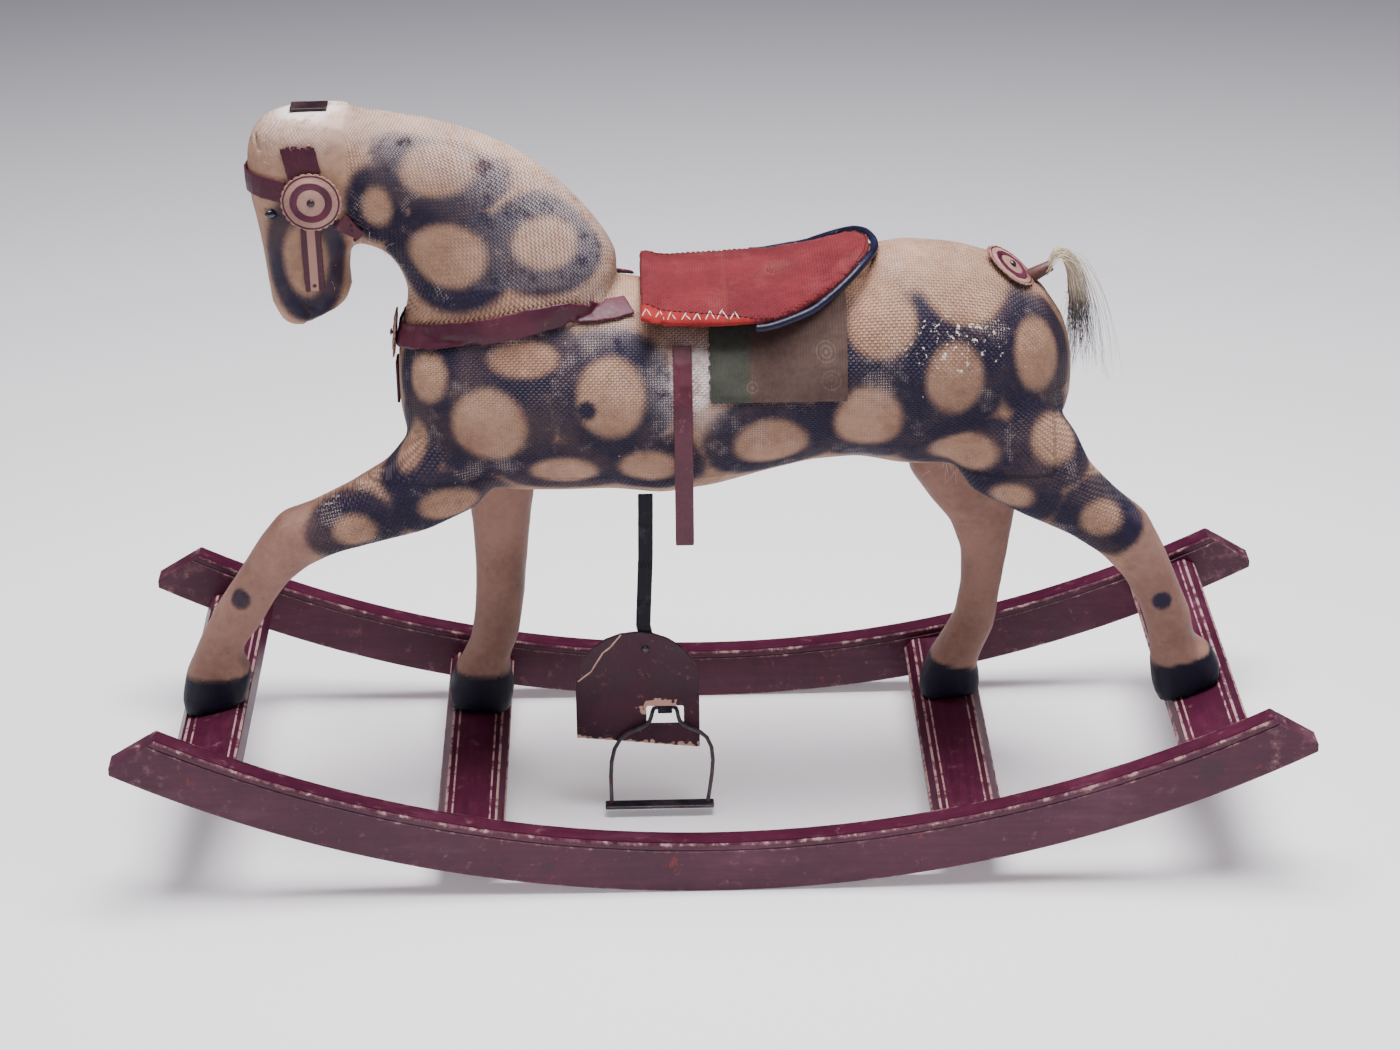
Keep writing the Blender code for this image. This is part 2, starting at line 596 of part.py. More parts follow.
for side, prefix in ((NEAR, "near_"), (FAR, "far_")):
    strap(prefix + "crown_strap", on_side([(-0.3205, 0.035, 0.5920), (-0.3235, 0.034, 0.6040),
                                           (-0.3255, 0.030, 0.6170)], side),
          0.027, LEATHER, head_surface, HEAD_CORE, MAROON_LEATHER, rows=3)
    strap(prefix + "cheek_strap", on_side([(-0.3185, 0.035, 0.5530), (-0.3195, 0.034, 0.5290),
                                           (-0.3185, 0.031, 0.4925)], side),
          0.0160, LEATHER, head_surface, HEAD_CORE, MAROON_LEATHER, rows=4)
    strap(prefix + "throat_strap", on_side([(-0.2970, 0.034, 0.5540), (-0.2885, 0.032, 0.5465),
                                            (-0.2795, 0.028, 0.5385)], side),
          0.0150, LEATHER, head_surface, JAW_CORE, MAROON_LEATHER, columns=5, rows=4, gap=0.0024)
    rosette_with_tack(prefix + "cheek_rosette", (-0.3169, side * 0.0360, 0.5720), (0, side, 0),
                      ROSETTE_RADIUS, ROSETTE_LIFT, head)

BROWBAND_ROUTE = [(-0.3375, 0.034, 0.5790), (-0.3490, 0.031, 0.5805), (-0.3620, 0.020, 0.5815)]
strap("browband", on_side(BROWBAND_ROUTE, NEAR) + [(-0.3710, 0, 0.5815)]
      + on_side(BROWBAND_ROUTE, FAR)[::-1], 0.0185, LEATHER, head_surface, HEAD_CORE,
      MAROON_LEATHER, rows=4)

CHEST_ROSETTE_RADIUS = 0.0215
CHEST_ROSETTE_Z = 0.4410
chest_spot, _, _, _ = body_surface.find_nearest(Vector((-0.256, 0, CHEST_ROSETTE_Z)))
rosette_with_tack("chest_rosette", chest_spot, (-1, 0, 0.10), CHEST_ROSETTE_RADIUS, 0.0048,
                  bpy.data.objects["breast_strap"], torso, neck)
TONGUE_TOP_Z = CHEST_ROSETTE_Z - CHEST_ROSETTE_RADIUS - 0.0016
TONGUE_PIVOT_X = -0.2575
tongue_route = [(-0.2580, 0, TONGUE_TOP_Z), (-0.2600, 0, 0.4000), (-0.2600, 0, 0.3790)]
breast_tongue = strap("breast_tongue", tongue_route, 0.020, LEATHER,
                      surface_of(torso, near_front_leg, far_front_leg), TORSO_CORE,
                      MAROON_LEATHER, rows=3, across=(0, 1, 0))

# ---- saddle, saddle cloth and near strap --------------------------------------------------
CLOTH_FRONT, CLOTH_REAR = 0.0, 0.1125
CLOTH_WRAP = math.radians(162)
CLOTH_ROWS = 20
CLOTH_GAP = 0.0010
cloth_middle = (CLOTH_FRONT + CLOTH_REAR) / 2
cloth_route = []
for step in range(CLOTH_ROWS + 1):
    turn = CLOTH_WRAP * (step / CLOTH_ROWS - 0.5)
    cloth_route.append((cloth_middle, 0.092 * math.sin(turn), 0.400 + 0.092 * math.cos(turn)))
strap("saddle_cloth", cloth_route, CLOTH_REAR - CLOTH_FRONT, CLOTH_THICKNESS, body_surface,
      TORSO_CORE, BLANKET_CLOTH, columns=9, rows=1, gap=CLOTH_GAP, across=(1, 0, 0))

SADDLE_CLEARANCE = CLOTH_GAP + CLOTH_THICKNESS + 0.0006
RIM_DROP = 0.0100            # of the saddle's edge below its middle


def saddle_half_width(x):
    """Straight sides in front, a half ellipse behind."""
    middle = 0.030
    if x < middle:
        return SADDLE_HALF_WIDTH - 0.004 * (middle - x) / (middle - SADDLE_FRONT)
    reach = min(1.0, (x - middle) / (SADDLE_REAR - middle))
    return SADDLE_HALF_WIDTH * math.sqrt(1 - reach * reach)


def back_height(x):
    """Height of the horse's back on the middle plane."""
    spot, _, _, _ = body_surface.ray_cast(Vector((x, 0.0002, 0.70)), Vector((0, 0, -1)))
    return spot.z


def saddle_top(x, y):
    crown = back_height(x) + SADDLE_CLEARANCE + SADDLE_THICKNESS
    return crown - RIM_DROP * (y / SADDLE_HALF_WIDTH) ** 2


def saddle_ring(x):
    """Across the seat and back underneath, with a rounded edge."""
    half = saddle_half_width(x)
    columns = 9
    edge = min(0.003, half * 0.25)
    upper, lower = [], []
    for column in range(columns):
        y = (half - edge) * (2 * column / (columns - 1) - 1)
        z = saddle_top(x, y)
        upper.append(Vector((x, y, z)))
        lower.append(Vector((x, y, z - SADDLE_THICKNESS)))
    middle_z = saddle_top(x, half) - SADDLE_THICKNESS / 2
    return upper + [Vector((x, half, middle_z))] + lower[::-1] + [Vector((x, -half, middle_z))]


saddle_rows = [SADDLE_FRONT + 0.022 * row for row in range(5)]
saddle_rows += [0.030 + (SADDLE_REAR - 0.030) * math.sin(math.radians(angle))
                for angle in (12, 24, 36, 47, 58, 68, 77, 84)]
loft("saddle", [saddle_ring(x) for x in saddle_rows], SADDLE_CLOTH)

PIPING_RADIUS = 0.0034
piping_route = []
for angle in range(-86, 87, 4):
    x = 0.030 + (SADDLE_REAR - 0.030 + PIPING_RADIUS + GAP) * math.cos(math.radians(angle))
    y = (SADDLE_HALF_WIDTH + PIPING_RADIUS + GAP) * math.sin(math.radians(angle))
    inside_x = min(x, SADDLE_REAR - 0.002)
    inside_y = math.copysign(min(abs(y), saddle_half_width(inside_x)), y)
    piping_route.append((x, y, saddle_top(inside_x, inside_y) - SADDLE_THICKNESS / 2))


def tube(name, route, radius, look, sides=8):
    """A round cord or wire along a route of points, with flat closed ends."""
    points = [Vector(point) for point in route]
    rings = []
    normal = (points[1] - points[0]).orthogonal()
    for index, point in enumerate(points):
        ahead = (points[min(index + 1, len(points) - 1)] - points[max(index - 1, 0)]).normalized()
        normal = (normal - ahead * normal.dot(ahead)).normalized()
        across = ahead.cross(normal)
        angles = [math.tau * corner / sides for corner in range(sides)]
        rings.append([point + (normal * math.cos(angle) + across * math.sin(angle)) * radius
                      for angle in angles])
    return loft(name, rings, look)


tube("saddle_piping", piping_route, PIPING_RADIUS, NAVY_LEATHER)

BUTTON_X, BUTTON_STEP = 0.058, 0.010
button = turned("saddle_button", [(0, 0.0044), (0.0050, 0.0038), (0.0085, 0.0018), (0.0090, 0.0007),
                                  (0, 0.0007)], SADDLE_CLOTH, sides=16)
seat_rise = saddle_top(BUTTON_X + BUTTON_STEP, 0) - saddle_top(BUTTON_X - BUTTON_STEP, 0)
stand_at(button, (BUTTON_X, 0, saddle_top(BUTTON_X, 0)), (-seat_rise, 0, 2 * BUTTON_STEP))

NEAR_STRAP_X, NEAR_STRAP_WIDTH = -0.0215, 0.0155
# y and z from its nailed top, the hinge, over the flank and straight down
NEAR_STRAP_ROUTE = [(-0.0652, 0.4515), (-0.0753, 0.4390), (-0.0836, 0.4240), (-0.0888, 0.4080),
                    (-0.0906, 0.3900), (-0.0906, 0.2840)]


def hanging_strap(name, route, middle_x, width, thickness, look):
    """A flat strap in one plane across X, a step thickness wide along its route of y and z."""
    rings = []
    for index, (y, z) in enumerate(route):
        before, after = route[max(index - 1, 0)], route[min(index + 1, len(route) - 1)]
        down = Vector((0, after[0] - before[0], after[1] - before[1])).normalized()
        out = Vector((0, down.z, -down.y)) * thickness
        left, right = (Vector((middle_x + side * width / 2, y, z)) for side in (-1, 1))
        rings.append([left, right, right + out, left + out])
    return loft(name, rings, look)


near_strap = hanging_strap("near_strap", NEAR_STRAP_ROUTE, NEAR_STRAP_X, NEAR_STRAP_WIDTH, LEATHER,
              MAROON_LEATHER)

# ---- stirrup: belly strap, leather flap, wire and tread -----------------------------------
STIRRUP_Y = -0.0450          # middle of the strap's thickness, from the flap down
BELLY_NAIL_X, BELLY_NAIL_Y = -0.0535, -0.0495   # over the middle of all that hangs from it
BELLY_STRAP_TOP_Z = 0.3112
STIRRUP_X = -0.0400          # middle of the wire's top bar
EYE_Z = 0.1020               # axis of the wire's top bar in the strap's eye
WEBBING_WIDTH, WEBBING_THICKNESS = 0.0125, 0.0024
WIRE_RADIUS = 0.0019
EYE_DEPTH = 0.0082
EYE_Y = STIRRUP_Y - WEBBING_THICKNESS / 2 + EYE_DEPTH / 2


def webbing_ring(x, z, depth, y=STIRRUP_Y):
    front = y - WEBBING_THICKNESS / 2
    left, right = x - WEBBING_WIDTH / 2, x + WEBBING_WIDTH / 2
    return [Vector((left, front, z)), Vector((right, front, z)),
            Vector((right, front + depth, z)), Vector((left, front + depth, z))]


stirrup_strap = loft("stirrup_strap", [
    webbing_ring(BELLY_NAIL_X, BELLY_STRAP_TOP_Z, WEBBING_THICKNESS, BELLY_NAIL_Y),
    webbing_ring(BELLY_NAIL_X - 0.0010, 0.2500, WEBBING_THICKNESS, (BELLY_NAIL_Y + STIRRUP_Y) / 2),
    webbing_ring(BELLY_NAIL_X - 0.0040, 0.1850, WEBBING_THICKNESS),
    webbing_ring(STIRRUP_X - 0.0040, EYE_Z + 0.0120, WEBBING_THICKNESS),
    webbing_ring(STIRRUP_X, EYE_Z + 0.0062, WEBBING_THICKNESS),
    webbing_ring(STIRRUP_X, EYE_Z + 0.0042, EYE_DEPTH),
    webbing_ring(STIRRUP_X, EYE_Z - 0.0042, EYE_DEPTH),
], BLACK_WEBBING)
cut(stirrup_strap, as_cutter(rod("strap_eye", (STIRRUP_X - 0.010, EYE_Y, EYE_Z),
                                 (STIRRUP_X + 0.010, EYE_Y, EYE_Z), WIRE_RADIUS + 0.0004,
                                 IRON, sides=12)))

FLAP_X, FLAP_WIDTH = -0.0635, 0.1067
FLAP_TOP_Z, FLAP_SHOULDER_Z = 0.1800, 0.1300
FLAP_FOOT_LEFT_Z, FLAP_FOOT_RIGHT_Z = 0.0765, 0.0650
FLAP_BACK_Y = STIRRUP_Y - WEBBING_THICKNESS / 2 - GAP
SLOT_WIDTH, SLOT_LOW_Z, SLOT_HIGH_Z = 0.0320, 0.0895, 0.1065


def flap_outline():
    """A round-topped flap whose foot runs a little downhill."""
    half = FLAP_WIDTH / 2
    outline = [(FLAP_X + half, FLAP_FOOT_RIGHT_Z)]
    for angle in range(0, 181, 15):
        turn = math.radians(angle)
        outline.append((FLAP_X + half * math.cos(turn),
                        FLAP_SHOULDER_Z + (FLAP_TOP_Z - FLAP_SHOULDER_Z) * math.sin(turn)))
    outline.append((FLAP_X - half, FLAP_FOOT_LEFT_Z))
    return outline


stirrup_flap = loft("stirrup_flap", [[Vector((x, y, z)) for x, z in flap_outline()]
                                     for y in (FLAP_BACK_Y, FLAP_BACK_Y - LEATHER)], MAROON_LEATHER)
bm = bmesh.new()
bmesh.ops.create_cube(bm, size=1.0)
bmesh.ops.scale(bm, verts=bm.verts, vec=(SLOT_WIDTH, 0.020, SLOT_HIGH_Z - SLOT_LOW_Z))
bmesh.ops.translate(bm, verts=bm.verts, vec=(STIRRUP_X, FLAP_BACK_Y, (SLOT_HIGH_Z + SLOT_LOW_Z) / 2))
slot = as_cutter(add_object("flap_slot", mesh_from(bm, "flap_slot"), RAW_WOOD))

FLAP_TACK_X, FLAP_TACK_Z = -0.0560, 0.1630
FLAP_TACK_RADIUS = 0.0014
tack_front = FLAP_BACK_Y - LEATHER - GAP
# radius and how far back from the front of the flap
tack_rings = []
for radius, back in ((0.0012, -0.0019), (0.0028, -0.0012), (0.0036, 0), (FLAP_TACK_RADIUS, 0),
                     (FLAP_TACK_RADIUS, 0.0058)):
    tack_rings.append([Vector((FLAP_TACK_X + radius * math.cos(math.tau * corner / 10), tack_front + back,
                               FLAP_TACK_Z + radius * math.sin(math.tau * corner / 10)))
                       for corner in range(10)])
flap_tack = loft("flap_tack", tack_rings, IRON)
tack_hole = as_cutter(rod("flap_tack_hole", (FLAP_TACK_X, tack_front - 0.002, FLAP_TACK_Z),
                          (FLAP_TACK_X, STIRRUP_Y + 0.004, FLAP_TACK_Z), FLAP_TACK_RADIUS + GAP,
                          IRON, sides=10))
cut(stirrup_flap, slot, tack_hole)
cut(stirrup_strap, tack_hole)

WIRE_Y = -0.0520             # plane of the wire's arms, in front of the flap
WIRE_LEAN = 0.0060           # how far the bent wire's foot sits in front of its top bar
TREAD_TOP_Z, TREAD_THICKNESS, TREAD_LENGTH, TREAD_DEPTH = 0.0115, 0.0030, 0.0950, 0.0120
# out from the middle, y and z: the top bar, through the slot, the shoulder and the arm
WIRE_HALF = [(0.0070, EYE_Y, EYE_Z), (0.0095, -0.0425, 0.1012), (0.0108, -0.0445, 0.0990),
             (0.0116, -0.0475, 0.0960), (0.0130, -0.0505, 0.0930), (0.0165, WIRE_Y, 0.0898),
             (0.0230, WIRE_Y, 0.0862), (0.0310, WIRE_Y, 0.0825), (0.0375, WIRE_Y, 0.0765),
             (0.0420, WIRE_Y, 0.0670), (0.0440, WIRE_Y, 0.0540), (0.0440, WIRE_Y, 0.0400),
             (0.0430, WIRE_Y, 0.0260), (0.0420, WIRE_Y, TREAD_TOP_Z + GAP)]
wire_route = []
for out, y, z in [(-out, y, z) for out, y, z in reversed(WIRE_HALF)] + WIRE_HALF:
    lean = WIRE_LEAN * (EYE_Z - z) / (EYE_Z - TREAD_TOP_Z)
    wire_route.append((STIRRUP_X - lean + out, y, z))
stirrup_wire = tube("stirrup_wire", wire_route, WIRE_RADIUS, IRON)


def block(name, size, middle, look, bevel=0.0):
    bm = bmesh.new()
    bmesh.ops.create_cube(bm, size=1.0)
    bmesh.ops.scale(bm, verts=bm.verts, vec=size)
    bmesh.ops.translate(bm, verts=bm.verts, vec=middle)
    made = add_object(name, mesh_from(bm, name), look)
    if bevel:
        rounding = made.modifiers.new("rounding", "BEVEL")
        rounding.width = bevel
        rounding.segments = 2
    return made


stirrup_tread = block("stirrup_tread", (TREAD_LENGTH, TREAD_DEPTH, TREAD_THICKNESS),
                      (STIRRUP_X - WIRE_LEAN, WIRE_Y, TREAD_TOP_Z - TREAD_THICKNESS / 2), IRON,
                      bevel=0.0008)

# ---- eyes, poll leather, crupper rosette and tail -----------------------------------------
for side, prefix in ((NEAR, "near_"), (FAR, "far_")):
    spot, out = outer_skin(head_surface, HEAD_CORE, Vector((-0.3500, side * 0.030, 0.5585)))
    eye = turned(prefix + "eye", [(0, 0.0032), (0.0026, 0.0026), (0.0042, 0.0008), (0.0042, 0.0003),
                                  (0, 0.0003)], EYE_GLASS, sides=12)
    stand_at(eye, spot, out)

strap("poll_leather", [(-0.3330, 0, 0.6380), (-0.3180, 0, 0.6400), (-0.3020, 0, 0.6400)], 0.020,
      LEATHER, head_surface, HEAD_CORE, MAROON_LEATHER, rows=2, across=(0, 1, 0))

CRUPPER_X, CRUPPER_Y = 0.2500, -0.0080
crupper_spot, crupper_out, _, _ = body_surface.ray_cast(Vector((CRUPPER_X, CRUPPER_Y, 0.70)),
                                                        Vector((0, 0, -1)))
rosette_with_tack("crupper_rosette", crupper_spot, crupper_out, 0.0245, 0.0010, torso)

TAIL_ROOT = (0.2800, 0, 0.4850)
# outer x and z, inner x and z, half width: from the root over the rump and down
TAIL = [
    (0.2800, 0.4900, 0.2810, 0.4800, 0.0040, 0, 2.0),
    (0.2870, 0.4985, 0.2880, 0.4860, 0.0070, 0, 2.0),
    (0.2980, 0.4965, 0.2930, 0.4840, 0.0090, 0, 2.0),
    (0.3065, 0.4840, 0.2955, 0.4760, 0.0100, 0, 2.0),
    (0.3105, 0.4660, 0.2975, 0.4620, 0.0100, 0, 2.0),
    (0.3115, 0.4460, 0.2995, 0.4440, 0.0090, 0, 2.0),
    (0.3110, 0.4280, 0.3025, 0.4270, 0.0070, 0, 2.0),
    (0.3110, 0.4080, 0.3060, 0.4080, 0.0040, 0, 2.0),
    (0.3110, 0.3920, 0.3085, 0.3920, 0.0018, 0, 2.0),
]
tail = body_loft("tail", TAIL, steps=1, count=12, look=TAIL_HAIR)


# ---- origins of the swinging pieces, on the axes they swing about --------------------------
def hang_from(pivot, *solids):
    """Move the origins to a pivot and leave the solids where they are."""
    place = Matrix.Translation(Vector(pivot))
    for solid in solids:
        solid.data.transform(place.inverted() @ solid.matrix_world)
        solid.matrix_world = place


hang_from((NEAR_STRAP_X, *NEAR_STRAP_ROUTE[0]), near_strap)
hang_from((BELLY_NAIL_X, BELLY_NAIL_Y, BELLY_STRAP_TOP_Z), stirrup_strap, stirrup_flap, flap_tack)
hang_from((STIRRUP_X, EYE_Y, EYE_Z), stirrup_wire, stirrup_tread)
hang_from((TONGUE_PIVOT_X, 0, TONGUE_TOP_Z), breast_tongue)
hang_from(TAIL_ROOT, tail)
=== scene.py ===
# %% [markdown]
# # A cloth-covered rocking horse
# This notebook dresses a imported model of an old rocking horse: a carved body under glued,
# dappled cloth, leather tack, a padded red saddle, a wire stirrup and two painted rockers.
# Each step says what the real piece is, how it could be made, and why it is made this way.
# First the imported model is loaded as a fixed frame. Nothing in it is moved: a piece that
# needs a better shape gets a new object that stands for it.

# %% Load the fixed frame
import json
import math
import random

import bmesh
import bpy
import numpy as np
from mathutils import Matrix, Vector, noise
from mathutils.bvhtree import BVHTree

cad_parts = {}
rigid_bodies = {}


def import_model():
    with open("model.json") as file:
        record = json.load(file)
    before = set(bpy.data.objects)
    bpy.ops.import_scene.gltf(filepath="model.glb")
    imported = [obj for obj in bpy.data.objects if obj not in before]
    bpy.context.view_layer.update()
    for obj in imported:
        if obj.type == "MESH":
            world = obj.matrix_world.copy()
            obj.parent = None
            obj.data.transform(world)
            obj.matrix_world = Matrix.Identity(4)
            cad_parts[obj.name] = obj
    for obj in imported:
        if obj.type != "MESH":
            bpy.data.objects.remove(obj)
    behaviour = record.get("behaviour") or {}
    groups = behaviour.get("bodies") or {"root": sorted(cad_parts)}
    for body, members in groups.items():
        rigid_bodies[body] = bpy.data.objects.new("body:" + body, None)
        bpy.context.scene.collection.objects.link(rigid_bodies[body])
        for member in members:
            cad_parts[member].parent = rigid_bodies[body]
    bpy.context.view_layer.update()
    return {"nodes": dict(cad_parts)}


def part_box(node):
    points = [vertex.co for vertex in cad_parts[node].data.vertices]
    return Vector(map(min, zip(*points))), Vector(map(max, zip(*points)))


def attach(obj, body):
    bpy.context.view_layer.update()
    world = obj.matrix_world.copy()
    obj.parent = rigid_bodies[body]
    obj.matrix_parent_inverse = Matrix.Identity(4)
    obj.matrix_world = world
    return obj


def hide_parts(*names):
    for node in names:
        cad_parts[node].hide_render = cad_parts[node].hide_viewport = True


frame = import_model()
solids = frame["nodes"]
dice = random.Random(11)

# %% [markdown]
# ## Camera, floor and light
# The horse stands on a pale floor that curves up into a backdrop, so there is no horizon
# line. A long lens a little above the horse looks down at it. One big soft lamp overhead
# gives the broad highlight on the back and neck and a soft shadow under the rockers, and
# two weaker ones fill the near side and the head.

# %% Camera
CAMERA_PLACE = Vector((-0.054, -2.526, 1.521))
DOWN, ASIDE, ROLL = math.radians(26.59), math.radians(1.06), math.radians(-0.61)
gaze = Vector((math.sin(ASIDE) * math.cos(DOWN), math.cos(ASIDE) * math.cos(DOWN), -math.sin(DOWN)))
level = Vector((math.cos(ASIDE), -math.sin(ASIDE), 0))
upright = level.cross(gaze)
right = level * math.cos(ROLL) + upright * math.sin(ROLL)
upward = upright * math.cos(ROLL) - level * math.sin(ROLL)
lens = bpy.data.cameras.new("long_lens")
lens.lens, lens.sensor_width = 84.86, 36.0
camera = bpy.data.objects.new("camera", lens)
bpy.context.scene.collection.objects.link(camera)
camera.matrix_world = Matrix.Translation(CAMERA_PLACE) @ Matrix(
    (right, upward, -gaze)).transposed().to_4x4()
bpy.context.scene.camera = camera
print("camera looks down", round(math.degrees(DOWN), 1), "degrees")

# %% Helpers for shader nodes
def place(tree, kind, values=None, **settings):
    """Add a node, set its options, and fill its inputs with numbers or other outputs."""
    made = tree.nodes.new("ShaderNode" + kind)
    for option, value in settings.items():
        setattr(made, option, value)
    for key, value in (values or {}).items():
        if isinstance(value, bpy.types.NodeSocket):
            tree.links.new(value, made.inputs[key])
        elif isinstance(value, tuple) and len(value) == 3 and made.inputs[key].type == "RGBA":
            made.inputs[key].default_value = (*value, 1.0)
        else:
            made.inputs[key].default_value = value
    return made


def calc(tree, operation, *values, clamp=False):
    return place(tree, "Math", dict(enumerate(values)), operation=operation, use_clamp=clamp).outputs[0]


def times(tree, first, second):
    """One value times another."""
    return calc(tree, "MULTIPLY", first, second)


def ease(tree, value, low, high, start=0.0, end=1.0):
    """A smooth step between two levels."""
    return place(tree, "MapRange", {"Value": value, "From Min": low, "From Max": high, "To Min": start,
                                    "To Max": end}, interpolation_type="SMOOTHSTEP").outputs["Result"]


def mixed(tree, share, first, second, mode="MIX"):
    return place(tree, "Mix", {0: share, 6: first, 7: second}, data_type="RGBA",
                 blend_type=mode).outputs[2]


def speckle(tree, where, scale, detail=3.0, roughness=0.55):
    return place(tree, "TexNoise", {"Vector": where, "Scale": scale, "Detail": detail,
                                    "Roughness": roughness}).outputs["Fac"]


def stretched(tree, where, scale):
    return place(tree, "Mapping", {"Vector": where, "Scale": scale}).outputs["Vector"]


def painted(tree, name):
    """A value stored on the mesh."""
    return place(tree, "Attribute", attribute_name=name).outputs["Fac"]


def new_finish(name, roughness=0.6, metallic=0.0):
    made = bpy.data.materials.new(name)
    made.use_nodes = True
    shader = made.node_tree.nodes["Principled BSDF"]
    shader.inputs["Roughness"].default_value = roughness
    shader.inputs["Metallic"].default_value = metallic
    shader.inputs["Specular IOR Level"].default_value = 0.28
    where = place(made.node_tree, "TexCoord").outputs["Object"]
    return made, made.node_tree, shader, where


def set_finish(tree, shader, color, height=None, depth=0.0005, strength=0.6, rough=None):
    """Join colour, roughness and a bump height to the shader."""
    tree.links.new(color, shader.inputs["Base Color"])
    if rough is not None:
        tree.links.new(rough, shader.inputs["Roughness"])
    if height is not None:
        bump = place(tree, "Bump", {"Height": height, "Strength": strength, "Distance": depth})
        tree.links.new(bump.outputs["Normal"], shader.inputs["Normal"])


# %% Floor and backdrop
def floor_and_backdrop():
    bm = bmesh.new()
    start = [bm.verts.new((side * 9.0, -8.0, 0)) for side in (-1, 1)]
    edges = [bm.edges.new(start)]
    bend = 1.5
    for step in range(13):
        turn = math.radians(90) * max(0, step - 1) / 11
        if step == 12:
            target = (3.0 + bend, 5.0)
        else:
            target = (3.0 + bend * math.sin(turn), bend * (1 - math.cos(turn)))
        pulled = bmesh.ops.extrude_edge_only(bm, edges=edges)["geom"]
        for vert in (item for item in pulled if isinstance(item, bmesh.types.BMVert)):
            vert.co.y, vert.co.z = target
        edges = [item for item in pulled if isinstance(item, bmesh.types.BMEdge)
                 and all(vert in pulled for vert in item.verts)]
    bmesh.ops.recalc_face_normals(bm, faces=bm.faces)
    mesh = bpy.data.meshes.new("backdrop")
    bm.to_mesh(mesh)
    bm.free()
    mesh.shade_smooth()
    made = bpy.data.objects.new("backdrop", mesh)
    bpy.context.scene.collection.objects.link(made)
    return made


backdrop = floor_and_backdrop()
paper, tree, shader, where = new_finish("pale_paper", 0.75)
place_y = place(tree, "SeparateXYZ", {0: where}).outputs["Y"]
# painted shade: the paper turns darker and bluer towards the back, standing in for the lamps' light falling
# off
shade = ease(tree, place_y, 0.2, 4.3)
clouds = speckle(tree, where, 1.2, 2.0)
paper_with_painted_falloff = mixed(tree, shade, (0.96, 0.945, 0.955), (0.036, 0.038, 0.098))
set_finish(tree, shader, mixed(tree, times(tree, clouds, 0.08), paper_with_painted_falloff, (0.72, 0.68, 0.76)))
# painted light: the near floor glows by its own emission, fading out towards the back, so it looks brighter
# than the horse
tree.links.new(mixed(tree, ease(tree, place_y, -0.9, 2.2), (0.26, 0.25, 0.26), (0.0, 0.0, 0.0)),
               shader.inputs["Emission Color"])
shader.inputs["Emission Strength"].default_value = 1.0
backdrop.data.materials.append(paper)

# %% Lamps
def soft_lamp(name, power, size, spot, aim, color):
    light = bpy.data.lights.new(name, "AREA")
    light.energy, light.size, light.color = power, size, color
    made = bpy.data.objects.new(name, light)
    made.matrix_world = Matrix.Translation(Vector(spot)) @ (
        Vector(aim) - Vector(spot)).to_track_quat("-Z", "Y").to_matrix().to_4x4()
    bpy.context.scene.collection.objects.link(made)


soft_lamp("overhead", 120, 1.3, (0.10, -0.05, 2.3), (0, 0, 0.2), (1.0, 0.98, 1.0))
soft_lamp("near_fill", 10, 2.0, (-0.8, -2.8, 1.4), (0, 0, 0.3), (0.96, 0.95, 1.0))
soft_lamp("head_side", 7, 1.2, (-2.4, -0.3, 1.5), (-0.2, 0, 0.4), (1.0, 0.96, 0.96))
sky = bpy.data.worlds.new("studio")
sky.use_nodes = True
sky.node_tree.nodes["Background"].inputs["Color"].default_value = (0.82, 0.76, 0.96, 1)
sky.node_tree.nodes["Background"].inputs["Strength"].default_value = 0.19
bpy.context.scene.world = sky
print("three lamps and a dim sky")

# %% [markdown]
# ## Effects that several finishes share
# Cloth, paint and wood each need the same few effects at their own scale: a plain weave,
# bare patches along worn edges, long wood grain and a soft mottle. Each is built once as
# a node group with named sockets, so one repair mends every material that uses it.

# %% Node groups
def new_group(name, inputs, outputs):
    tree = bpy.data.node_groups.new(name, "ShaderNodeTree")
    for title, value in inputs.items():
        kind = "NodeSocketVector" if title == "Vector" else "NodeSocketFloat"
        socket = tree.interface.new_socket(title, in_out="INPUT", socket_type=kind)
        if value is not None:
            socket.default_value = value
    for title in outputs:
        tree.interface.new_socket(title, in_out="OUTPUT", socket_type="NodeSocketFloat")
    return tree, tree.nodes.new("NodeGroupInput").outputs, tree.nodes.new("NodeGroupOutput").inputs


def grouped(tree, group, values):
    made = tree.nodes.new("ShaderNodeGroup")
    made.node_tree = group
    for title, value in values.items():
        if isinstance(value, bpy.types.NodeSocket):
            tree.links.new(value, made.inputs[title])
        else:
            made.inputs[title].default_value = value
    return made.outputs


def weave_group():
    """Over and under threads: a ridge along one way or the other, in a chequer."""
    tree, given, made = new_group("plain_weave", {"Vector": None, "Pitch": 0.002, "Wander": 0.3},
                                  ("Height", "Gap_shade"))
    wobble = place(tree, "TexNoise", {"Vector": given["Vector"], "Scale": 45.0,
                                      "Detail": 2.0}).outputs["Color"]
    threads = place(tree, "VectorMath", {0: given["Vector"], 1: given["Pitch"]},
                    operation="DIVIDE").outputs[0]
    drift = place(tree, "VectorMath", {0: wobble, 3: given["Wander"]}, operation="SCALE").outputs[0]
    threads = place(tree, "VectorMath", {0: threads, 1: drift}, operation="ADD").outputs[0]
    parts = place(tree, "SeparateXYZ", {0: threads}).outputs
    ridges = [calc(tree, "ABSOLUTE", calc(tree, "SINE", times(tree, parts[way], math.pi)))
              for way in ("X", "Y")]
    floors = [calc(tree, "FLOOR", parts[way]) for way in ("X", "Y")]
    chequer = calc(tree, "ABSOLUTE", calc(tree, "MODULO", calc(tree, "ADD", *floors), 2.0))
    height = place(tree, "Mix", {0: chequer, 2: ridges[0], 3: ridges[1]}).outputs[0]
    tree.links.new(height, made["Height"])
    # the second output marks where the threads part; the finishes darken it as painted shade between the
    # threads
    tree.links.new(ease(tree, height, 0.45, 0.05), made["Gap_shade"])
    return tree


